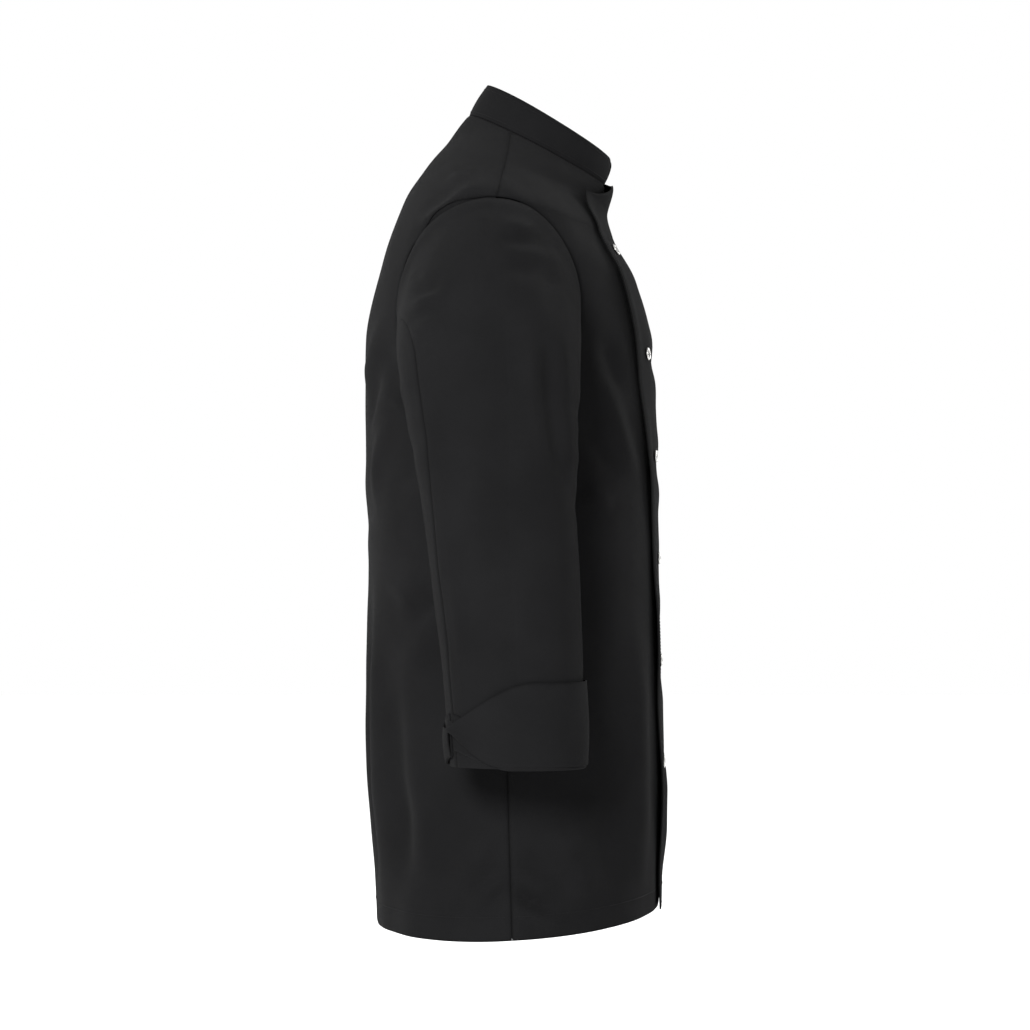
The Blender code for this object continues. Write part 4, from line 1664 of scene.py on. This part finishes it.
@dataclass
class SleeveForm:
    """Outer surface of the right sleeve.

    A place on it is (degrees, level): degrees run from the outer side of the arm towards its
    back, and level is 0 at the armhole, 1 at the first ring and 2 at the end.
    """

    torso: TorsoForm
    cap_turn_deg: tuple[float, float] = (27.0, 72.0)
    cap_elbow_deg: float = 90.0
    cap_forearm_deg: float = 234.0
    gap: float = 0.0009
    head: float = 0.0016
    head_level: float = 0.07
    head_reach: float = 0.05
    tuck: float = 0.0034
    rings: SmoothTable = field(default_factory=lambda: SmoothTable(RINGS))

    def __post_init__(self) -> None:
        """Tabulates the armhole."""
        self._degrees = np.linspace(0.0, 360.0, 721)
        self._armhole = self.torso.point(*self.torso.armhole_places(self._degrees))
        from_top = (self._degrees + 180.0) % 360.0 - 180.0
        apart = np.abs(from_top)
        top, beside = apart < 10.0, (apart > 10.0) & (apart < 45.0)
        for axis in range(3):
            curve = np.polyfit(from_top[beside], self._armhole[beside, axis], 4)
            self._armhole[top, axis] = np.polyval(curve, from_top[top])

    def armhole(self, degrees: Array) -> Array:
        """Points of the armhole."""
        return sampled(degrees % 360.0, self._degrees, self._armhole)

    def below_cap(self, level: Array) -> Array:
        """Ring heights of levels below the cap."""
        first, last = RINGS[0].z, RINGS[-1].z
        return first + (last - first) * np.clip(level - 1.0, 0.0, 1.0)

    def ring(self, degrees: Array, z: Array) -> Array:
        """Points below the cap, at a ring's own height z.

        Args:
            degrees: Angles round the arm.
            z: Heights of the ring.

        Returns:
            One point for each pair.
        """
        turn = np.radians(degrees)
        table, outer = self.rings, np.cos(turn)
        x = table("x", z) - table("half_width", z) * outer
        y = table("y", z) + table("half_depth", z) * np.sin(turn)
        return np.stack([x, y, z + table("rise", z) * outer], axis=-1)

    def point(self, degrees: Array, level: Array) -> Array:
        """Points of the surface at places on it.

        Args:
            degrees: Angles round the arm.
            level: Levels down the sleeve.

        Returns:
            One point for each pair.
        """
        below = self.ring(degrees, self.below_cap(level))
        end = self.ring(degrees, np.full(degrees.shape, RINGS[0].z))
        down = unit(self.ring(degrees, np.full(degrees.shape, RINGS[1].z)) - end)
        low, high = (math.radians(value) for value in self.cap_turn_deg)
        dive = low + (high - low) * (1.0 - np.cos(np.radians(degrees))) / 2.0
        leave = np.stack([-np.cos(dive), np.zeros_like(dive), -np.sin(dive)], axis=-1)
        start = self.armhole(degrees) + leave * self.gap
        chord = np.linalg.norm(end - start, axis=-1, keepdims=True)
        level = level[..., None]
        cap = hermite(np.clip(level, 0.0, 1.0), start, leave * chord, end, down * chord)
        cap = cap + leave * chord * np.minimum(level, 0.0)
        return np.where(level < 1.0, cap, below)

    def normal(self, degrees: Array, level: Array) -> Array:
        """Outward directions of the surface at places on it.

        Args:
            degrees: Angles round the arm.
            level: Levels down the sleeve.

        Returns:
            A direction of length 1 for each pair.
        """
        step = 0.004
        higher, lower = level - step, np.minimum(level + step, 2.0)
        round_arm = self.point(degrees + 0.8, level) - self.point(degrees - 0.8, level)
        down_arm = self.point(degrees, lower) - self.point(degrees, higher)
        return unit(np.cross(round_arm, down_arm))

    def seam(self, name: str, cap_deg: float, level: Array) -> Array:
        """Angles of one of the two seams.

        Args:
            name: The seam's field in the rings.
            cap_deg: Its angle at the armhole.
            level: Levels down the sleeve.

        Returns:
            An angle for each level.
        """
        below = self.rings(name, self.below_cap(level))
        cap = cap_deg + (getattr(RINGS[0], name) - cap_deg) * soft_step(0.0, 1.0, level)
        return np.where(level < 1.0, cap, below)

    def elbow(self, level: Array) -> Array:
        """Angles of the seam at the back of the arm."""
        return self.seam("elbow_deg", self.cap_elbow_deg, level)

    def forearm(self, level: Array) -> Array:
        """Angles of the seam at the inside of the arm."""
        return self.seam("forearm_deg", self.cap_forearm_deg, level)


@dataclass
class Sleeve:
    """Top and under sleeve of one arm."""

    form: SleeveForm
    side: int
    word: str
    folds: Sequence[Fold]
    seed: int
    half_gap: float = 0.00005
    mean_radius: float = 0.058
    allowance: tuple[float, ...] = (-0.045, -0.030, -0.015)

    def surface(self, degrees: Array, level: Array) -> tuple[Array, Array]:
        """Points and outward directions of the sleeve with its folds.

        Args:
            degrees: Angles round the arm.
            level: Levels down the sleeve.

        Returns:
            Points and directions.
        """
        degrees, level = np.ravel(degrees), np.ravel(level)
        points, normals = self.form.point(degrees, level), self.form.normal(degrees, level)
        form = self.form
        head = form.head * np.exp(-(((level - form.head_level) / form.head_reach) ** 2))
        head *= soft_step(-0.4, 0.5, np.cos(np.radians(degrees)))
        head -= form.tuck * soft_step(0.0, 0.02, -level)
        points = points + normals * head[:, None]
        points = lifted(points, normals, self.folds, Ripple(self.seed), SLEEVE_FOLD_STRENGTH)
        return points, normals

    def cut(self, first: Array, last: Array, columns: int, level: Array) -> ClothMesh:
        """Grid of one piece between two seams.

        Args:
            first: Angle of the first seam at each level.
            last: Angle of the last seam at each level.
            columns: How many cells lie between them.
            level: Levels of the rows.

        Returns:
            The outer face on the wearer's own side.
        """
        inset = math.degrees(self.half_gap / self.mean_radius)
        share = np.linspace(0.0, 1.0, columns + 1)[None, :]
        degrees = first[:, None] + inset + (last - first - 2.0 * inset)[:, None] * share
        level = np.repeat(level[:, None], columns + 1, axis=1)
        points, normals = self.surface(degrees, level)
        shape = points.reshape(*degrees.shape, 3)
        grain = grain_of(shape).reshape(-1, 2)
        span = np.linalg.norm(np.diff(shape, axis=1), axis=2).sum(axis=1)[:, None]
        spacing = np.linalg.norm(np.diff(shape, axis=0), axis=2).mean(axis=1)
        down = np.concatenate([[0.0], np.cumsum(spacing)])
        down = np.maximum(down - down[np.argmax(level[:, 0] >= 0.0)], 0.0)
        edge = np.minimum(np.minimum(share, 1.0 - share) * span, down[:, None])
        points = grooved(points, normals, edge)
        faces = grid_cells(np.ones(degrees.shape, bool))
        return ClothMesh(*on_side(self.side, points, faces), grain, edge.reshape(-1))

    def build(self, finishes: Finishes) -> None:
        """Makes both pieces and dresses them.

        Args:
            finishes: The jacket's finishes.
        """
        cap, arm = np.linspace(0.0, 1.0, 46), np.linspace(1.0, 2.0, 98)
        level = np.concatenate([self.allowance, cap, arm[1:]])
        elbow, forearm = self.form.elbow(level), self.form.forearm(level)
        for part, first, last, columns, flat in (
            ("top", forearm - 360.0, elbow, 84, (0.26, 0.52)),
            ("under", elbow, forearm, 70, (0.21, 0.42)),
        ):
            cloth = self.cut(first, last, columns, level)
            hung_sheet(f"sleeve_{self.word}_{part}", cloth, finishes.body)


# ---- Cuffs ----


@dataclass
class Cuff:
    """Turned-back cuff: a band outside the sleeve, and the rolled fold that shows below it."""

    form: SleeveForm
    side: int
    word: str
    seed: int
    top_z: float = -0.501
    fold_z: float = -0.5800
    lift: float = 0.0032
    vent_deg: float = 66.0
    vent_half: float = 0.0016
    vent_drop: float = 0.042
    outer_vent: tuple[float, float] = (-0.010, 0.078)
    under_vent: tuple[float, float] = (0.022, 0.085)
    corner_rise: float = 0.030
    corner_reach: float = 0.052
    belly: float = 0.0012
    flare: float = 0.0030
    turn_radius: float = 0.0016
    rim_radius: float = 0.0030
    rim_rise: float = 0.016
    steps: int = 220

    @property
    def mean_radius(self) -> float:
        """Mean radius of the sleeve's end."""
        return (RINGS[-1].half_depth + RINGS[-1].half_width) / 2.0

    def beside(self, degrees: Array, z: Array, out: Array) -> Array:
        """Points beside the sleeve's end, moved out from it.

        Args:
            degrees: Angles round the arm.
            z: Heights.
            out: How far each point moves out.

        Returns:
            One point for each angle.
        """
        kept = np.maximum(z, RINGS[-1].z)
        point = self.form.ring(degrees, kept)
        middle = np.stack([self.form.rings("x", z), self.form.rings("y", z)], axis=-1)
        outwards = unit(point[..., :2] - middle)
        flat = point[..., :2] + outwards * np.asarray(out)[..., None]
        return np.concatenate([flat, z[..., None]], axis=-1)

    def angles(self, trim: float = 0.0) -> Array:
        """Angles round the cuff, from one side of the vent to the other."""
        half = math.degrees((self.vent_half + trim) / self.mean_radius)
        return self.vent_deg + half + (360.0 - 2.0 * half) * np.linspace(0.0, 1.0, self.steps + 1)

    def from_vent(self, degrees: Array) -> tuple[Array, Array]:
        """Distances from the vent round the outer and the under side of the arm."""
        outer = np.radians(self.vent_deg + 360.0 - degrees) * self.mean_radius
        return outer, np.radians(degrees - self.vent_deg) * self.mean_radius

    def top(self, degrees: Array) -> Array:
        """Height of the upper edge, which falls away on both sides of the vent.

        Args:
            degrees: Angles round the cuff.

        Returns:
            One height for each angle.
        """
        outer, under = self.from_vent(degrees)
        rise = np.minimum(soft_step(*self.outer_vent, outer), soft_step(*self.under_vent, under))
        uneven = 0.0008 * np.sin(np.radians(degrees) * 2.0 + 0.6)
        return self.top_z - self.vent_drop * (1.0 - rise) + uneven

    def bottom(self, degrees: Array) -> Array:
        """Height of the band's lower edge, which curls up beside the vent.

        Args:
            degrees: Angles round the cuff.

        Returns:
            One height for each angle.
        """
        outer, under = self.from_vent(degrees)
        far = 1.0 - soft_step(0.0, 0.030, under)
        return self.fold_z + 0.0045 + self.corner_rise * self.curl(outer) ** 1.3 + 0.008 * far

    def curl(self, outer: Array) -> Array:
        """How far the band's corner curls up and out, from 0 to 1 at the vent."""
        return 1.0 - soft_step(0.0, self.corner_reach, outer)

    def rim_bottom(self, degrees: Array) -> Array:
        """Height of the rolled fold, which rises a little at the back.

        Args:
            degrees: Angles round the cuff.

        Returns:
            One height for each angle.
        """
        outer, under = self.from_vent(degrees)
        nearest = np.minimum(outer * 0.8, under)
        return self.fold_z + self.rim_rise * (1.0 - soft_step(0.0, 0.045, nearest))

    def band(self) -> ClothMesh:
        """The band, from its upper edge down and round its folded lower edge.

        Returns:
            The band's outer face.
        """
        degrees = self.angles()
        flare = self.flare * self.curl(self.from_vent(degrees)[0])
        top, bottom = self.top(degrees), self.bottom(degrees)
        rows = []
        for share in np.linspace(0.0, 1.0, 27):
            out = self.lift + self.belly * math.sin(math.pi * share) + flare * share
            rows.append(self.beside(degrees, top + (bottom - top) * share, out))
        radius = self.turn_radius
        for turn in np.linspace(0.25, 1.0, 5) * math.pi:
            out = self.lift + flare - radius * (1.0 - math.cos(turn))
            rows.append(self.beside(degrees, bottom - radius * math.sin(turn), out))
        for up in (0.004, 0.010):
            rows.append(self.beside(degrees, bottom + up, self.lift + flare - 2.0 * radius))
        return self._cloth(np.array(rows), Ripple(self.seed, 0.0005))

    def rim(self) -> ClothMesh:
        """The rolled fold at the sleeve's end, and the lip inside it.

        Returns:
            The fold's outer face.
        """
        degrees = self.angles(0.0005)
        bottom = self.rim_bottom(degrees)
        radius, rows = self.rim_radius, []
        for up in (0.034, 0.026, 0.018, 0.010, 0.005):
            rows.append(self.beside(degrees, bottom + up, np.full(degrees.shape, 0.0010)))
        for turn in np.linspace(0.0, 1.0, 9) * math.pi:
            z = bottom + radius - radius * math.sin(turn)
            out = 0.0016 - radius * (1.0 - math.cos(turn)) * 0.9
            rows.append(self.beside(degrees, z, np.full(degrees.shape, out)))
        for up in (0.007, 0.012, 0.018):
            rows.append(self.beside(degrees, bottom + up, np.full(degrees.shape, -0.0048)))
        return self._cloth(np.array(rows), Ripple(self.seed + 1, 0.0003))

    def _cloth(self, points: Array, ripple: Ripple) -> ClothMesh:
        """Face of cloth from rows of points on the right arm.

        Args:
            points: Points by row and column.
            ripple: Its faint unevenness.

        Returns:
            The face on its own arm.
        """
        middle = points.mean(axis=(0, 1)) * (1.0, 1.0, 0.0)
        flat = points.reshape(-1, 3)
        outwards = unit((flat - middle) * (1.0, 1.0, 0.0))
        flat = flat + outwards * ripple(flat)[:, None]
        grain = grain_of(points).reshape(-1, 2)
        level = np.linalg.norm(np.diff(points, axis=0), axis=2).mean(axis=1)
        down = np.concatenate([[0.0], np.cumsum(level)])
        edge = np.repeat(down[:, None], points.shape[1], axis=1)
        faces = grid_cells(np.ones(points.shape[:2], bool))
        return ClothMesh(*on_side(self.side, flat, faces), grain, edge.reshape(-1))

    def build(self, finishes: Finishes) -> None:
        """Makes the band and the fold and dresses them.

        Args:
            finishes: The jacket's finishes.
        """
        band = cloth_object(f"cuff_{self.word}_band", self.band(), finishes.firm, 0.0012)
        rim = cloth_object(f"cuff_{self.word}_fold", self.rim(), finishes.firm, 0.0010)
        for piece in (band, rim):
            finish_piece(piece, [f"cuff_{self.word}"])


# ---- Stitches ----


@dataclass(frozen=True)
class Topstitch:
    """Row of sewn stitches that lie on the cloth.

    rings gives each ring of a stitch: its place along the stitch, and its share of the radius.
    """

    pitch: float = 0.0032
    length: float = 0.0026
    radius: float = 0.00024
    sides: int = 6
    rings: tuple[tuple[float, float], ...] = (
        (-0.5, 0.35),
        (-0.32, 0.95),
        (0.0, 1.0),
        (0.32, 0.95),
        (0.5, 0.35),
    )

    def build(
        self, name: str, lines: Sequence[tuple[Array, Array]], material: bpy.types.Material
    ) -> bpy.types.Object:
        """Makes one mesh of all the stitches along some lines.

        Args:
            name: Its name.
            lines: For each line, points on the cloth and outward directions there.
            material: Its finish.

        Returns:
            The stitches.
        """
        places, alongs, ups = [], [], []
        for points, normals in lines:
            steps = np.linalg.norm(np.diff(points, axis=0), axis=1)
            length = np.concatenate([[0.0], np.cumsum(steps)])
            at = np.arange(self.pitch, length[-1] - self.pitch, self.pitch)
            here = sampled(at, length, points)
            places.append(here)
            alongs.append(unit(sampled(at + self.pitch / 4.0, length, points) - here))
            ups.append(unit(sampled(at, length, normals)))
        place, along, up = (np.concatenate(values) for values in (places, alongs, ups))
        side = unit(np.cross(up, along))
        up = np.cross(along, side)
        corners = []
        for share, thick in self.rings:
            for turn in np.arange(self.sides) * 2.0 * math.pi / self.sides:
                rise = self.radius * (thick * math.cos(turn) + 0.75 - 3.0 * share * share)
                corners.append(
                    place
                    + along * (share * self.length)
                    + side * (self.radius * thick * math.sin(turn))
                    + up * rise
                )
        points = np.stack(corners, axis=1).reshape(-1, 3)
        ring = np.arange(self.sides)
        number = ring + self.sides * np.arange(len(self.rings))[:, None]
        after = np.roll(number, -1, axis=1)
        walls = np.stack([number[:-1], after[:-1], after[1:], number[1:]], axis=-1).reshape(-1, 4)
        ends = np.stack([number[0, ::-1], number[-1]])
        shift = np.arange(len(place))[:, None, None] * number.size
        faces = (walls[None] + shift).reshape(-1, 4).tolist()
        faces += (ends[None] + shift).reshape(-1, self.sides).tolist()
        return mesh_object(name, points, faces, material)


# ---- Press studs ----


@dataclass
class PressStud:
    """Open ring of metal with the cloth domed in its middle.

    The shares are of the stud's height: where the ring's middle lies, how far it reaches up and
    down from there, where the dome's edge lies and how far the dome rises over it.
    """

    node: str
    radius: float = 0.0060
    inner: float = 0.0036
    height: float = 0.0019
    ring_middle: float = 0.42
    ring_reach: float = 0.55
    ring_underside: float = 0.5
    ring_sides: int = 16
    dome_foot: float = 0.20
    dome_rise: float = 0.34
    dome_turn: float = 1.45
    dome_steps: int = 6
    steps: int = 64

    def place(self) -> tuple[Vector, Vector]:
        """Middle of the stud's foot and its outward direction, from its node.

        Returns:
            The foot's middle, and a direction of length 1.
        """
        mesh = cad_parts[self.node].data
        points = np.array([vertex.co for vertex in mesh.vertices], float)
        middle = points.mean(axis=0)
        _, _, axes = np.linalg.svd(points - middle)
        out = axes[2] * (-1.0 if axes[2][1] > 0.0 else 1.0)
        foot = middle + out * ((points - middle) @ out).min()
        return Vector(foot), Vector(out)

    def turned(
        self,
        name: str,
        outline: Sequence[tuple[float, float]],
        closed: bool,
        material: bpy.types.Material,
    ) -> bpy.types.Object:
        """Turned shape on the stud's axis.

        Args:
            name: Its name.
            outline: Radius and height of each point.
            closed: Whether the outline is a loop.
            material: Its finish.

        Returns:
            The piece.
        """
        foot, out = self.place()
        turn = out.to_track_quat("Z", "Y").to_matrix()
        points, faces = [], []
        count = len(outline)
        for step in range(self.steps):
            angle = 2.0 * math.pi * step / self.steps
            for radius, height in outline:
                local = Vector((radius * math.cos(angle), radius * math.sin(angle), height))
                points.append(tuple(foot + turn @ local))
        starts = [step * count for step in range(self.steps)]
        for here, after in zip(starts, [*starts[1:], starts[0]]):
            for i in range(count if closed else count - 1):
                j = (i + 1) % count
                faces.append((here + i, after + i, after + j, here + j))
        if not closed:
            faces.append(starts)
            faces.append([start + count - 1 for start in starts][::-1])
        return mesh_object(name, np.array(points), faces, material)

    def build(self, finishes: Finishes) -> None:
        """Makes the ring and the domed cloth and dresses them.

        Args:
            finishes: The jacket's finishes.
        """
        ring = self.turned(f"{self.node}_ring", self.ring_outline(), True, finishes.nickel)
        finish_piece(ring, [self.node])
        cloth = self.turned(f"{self.node}_cloth", self.dome_outline(), False, finishes.firm)
        finish_piece(cloth, [self.node])

    def ring_outline(self) -> list[tuple[float, float]]:
        """Radius and height round the ring's section, which is flatter below.

        Returns:
            One pair for each point.
        """
        middle, half = (self.radius + self.inner) / 2.0, (self.radius - self.inner) / 2.0
        outline = []
        for i in range(self.ring_sides):
            turn = 2.0 * math.pi * i / self.ring_sides
            flat = self.ring_underside if math.sin(turn) < 0.0 else 1.0
            rise = self.ring_middle + self.ring_reach * math.sin(turn) * flat
            outline.append((middle + half * math.cos(turn), self.height * rise))
        return outline

    def dome_outline(self) -> list[tuple[float, float]]:
        """Radius and height from the domed cloth's foot to its middle.

        Returns:
            One pair for each point.
        """
        outline = [(self.inner * 1.08, 0.0)]
        for i in range(self.dome_steps + 1):
            turn = i / self.dome_steps * self.dome_turn
            rise = self.dome_foot + self.dome_rise * math.sin(turn)
            outline.append((self.inner * 1.06 * math.cos(turn), self.height * rise))
        return outline


# ---- The jacket ----


@dataclass
class Jacket:
    """The whole jacket: its forms, its pieces and its sewing."""

    finishes: Finishes
    torso: TorsoForm = field(default_factory=TorsoForm)
    stitch_inset: float = 0.0062
    hem_depth: float = 0.022
    studs: int = 6

    def __post_init__(self) -> None:
        """Draws the torso's panels and the collar."""
        sides = [*BODY_SIDE_FOLDS, *opposite_folds(BODY_SIDE_FOLDS, 41)]
        self.back = BackPanel(self.torso, "back", [*sides, *BACK_FOLDS], 3)
        self.under = FrontUnder(self.torso, "front_right", [*sides, *FRONT_FOLDS], 3)
        self.over = FrontOver(self.torso, "front_left", [*sides, *FRONT_FOLDS], 3)
        self.collar = Collar(self.torso)

    def build(self) -> None:
        """Makes every piece in order."""
        for panel, flat in (
            (self.back, (0.60, 0.80)),
            (self.under, (0.44, 0.76)),
            (self.over, (0.48, 0.76)),
        ):
            hung_sheet(panel.name, panel.cut(), self.finishes.body)
        self.build_collar()
        self.build_arms()
        self.build_stitches()
        for index in range(self.studs):
            PressStud(f"press_stud_{index + 1}").build(self.finishes)

    def build_collar(self) -> None:
        """Makes the stand collar."""
        collar = self.collar
        piece = cloth_object("collar_cloth", collar.cut(), self.finishes.firm, collar.wall)
        finish_piece(piece, ["collar"])

    def build_arms(self) -> None:
        """Makes both sleeves and both cuffs."""
        form = SleeveForm(self.torso)
        sides = [*SLEEVE_FOLDS, *SLEEVE_INNER_FOLDS]
        left = [fold.opposite(1.0, 0.0, 1.0) for fold in opposite_folds(sides, 17)]
        for piece in (
            Sleeve(form, -1, "right", [*sides, *SLEEVE_FRONT_FOLDS], 5),
            Sleeve(form, 1, "left", [*left, *SLEEVE_FRONT_FOLDS], 8),
            Cuff(form, -1, "right", 11),
            Cuff(form, 1, "left", 14),
        ):
            piece.build(self.finishes)

    def build_stitches(self) -> None:
        """Sews the rows of topstitching."""
        form = self.torso
        key = np.linspace(form.hem + 0.004, form.neck - 0.008, 500)
        edge = self.over.edge_around(key) + self.stitch_inset / self.over.lap_scale
        hem_key = np.full(400, form.hem + self.hem_depth)
        hem_lines = [
            panel.surface(np.linspace(first, last, len(hem_key)), hem_key)
            for panel, first, last in (
                (self.back, -0.995, 0.995),
                (self.under, 1.005, 2.15),
                (self.over, float(edge[0]), -1.005),
            )
        ]
        degrees = np.linspace(-168.0, 168.0, 600)
        collar_lines = [
            self.collar.surface(degrees, np.full(degrees.shape, share)) for share in (0.13, 0.86)
        ]
        for name, lines, nodes in (
            ("lap_stitches", [self.over.surface(edge, key)], ["front_left"]),
            ("hem_stitches", hem_lines, ["back", "front_right", "front_left"]),
            ("collar_stitches", collar_lines, ["collar"]),
        ):
            piece = Topstitch().build(name, lines, self.finishes.thread)
            finish_piece(piece, nodes)


# ---- Stage ----


class Lamp(NamedTuple):
    """Round soft lamp: its name, its place, its width and its power in watts."""

    name: str
    place: tuple[float, float, float]
    size: float
    power: float


LAMPS = (
    Lamp("key_light", (-3.4, 0.95, 0.75), 1.0, 330.0),
    Lamp("top_light", (-0.2, 1.3, 2.5), 1.2, 32.0),
    Lamp("back_light", (2.0, 3.0, 0.9), 1.4, 22.0),
    Lamp("front_light", (2.6, -2.7, 0.4), 1.4, 60.0),
)


@dataclass
class Stage:
    """Camera, soft studio light and a plain pale floor.

    view_width is the width that the camera takes in at the middle of the jacket.
    """

    eye: tuple[float, float, float] = (-3.7, 0.0213, -0.353)
    view_width: float = 0.9991
    lit_point: tuple[float, float, float] = (0.0, 0.02, -0.35)
    floor_z: float = -0.95
    floor_half: float = 9.0
    floor_tone: float = 0.98

    def build(self) -> None:
        """Makes everything round the jacket."""
        scene = bpy.context.scene
        scene.view_settings.view_transform = "Standard"
        camera = bpy.data.cameras.new("camera")
        camera.sensor_width = 36.0
        camera.lens = camera.sensor_width * -self.eye[0] / self.view_width
        holder = bpy.data.objects.new("camera", camera)
        holder.location = self.eye
        holder.rotation_euler = (math.radians(90.0), 0.0, math.radians(-90.0))
        scene.collection.objects.link(holder)
        scene.camera = holder
        self.floor()
        self.lights()

    def floor(self) -> None:
        """Makes the floor."""
        signs = ((-1.0, -1.0), (1.0, -1.0), (1.0, 1.0), (-1.0, 1.0))
        half, z = self.floor_half, self.floor_z
        corners = [(x * half, y * half, z) for x, y in signs]
        material, graph, shader = principled("pale_floor")
        speckle = graph.node("TexNoise", Scale=30.0, Detail=3.0).outputs["Fac"]
        graph.join(graph.ramp(speckle, 0.3, 0.7, 0.85, 0.95), shader.inputs["Roughness"])
        shader.inputs["Base Color"].default_value = (*[self.floor_tone] * 3, 1.0)
        floor = mesh_object("floor", np.array(corners), [(0, 1, 2, 3)], material)

    def lights(self) -> None:
        """Makes the surrounding light and the lamps."""
        world = bpy.data.worlds.new("studio")
        world.use_nodes = True
        background = world.node_tree.nodes["Background"].inputs
        background["Color"].default_value = (1.0, 1.0, 1.0, 1.0)
        background["Strength"].default_value = 1.0
        bpy.context.scene.world = world
        for name, place, size, power in LAMPS:
            data = bpy.data.lights.new(name, "AREA")
            data.shape, data.size, data.energy = "DISK", size, power
            lamp = bpy.data.objects.new(name, data)
            lamp.location = place
            towards = Vector(self.lit_point) - Vector(place)
            lamp.rotation_euler = towards.to_track_quat("-Z", "Y").to_euler()
            bpy.context.scene.collection.objects.link(lamp)


def main() -> None:
    """Builds the jacket and its stage."""
    logging.basicConfig(level=logging.INFO, format="%(name)s %(message)s")
    Jacket(Finishes.build()).build()
    Stage().build()


if __name__ == "__main__":
    main()
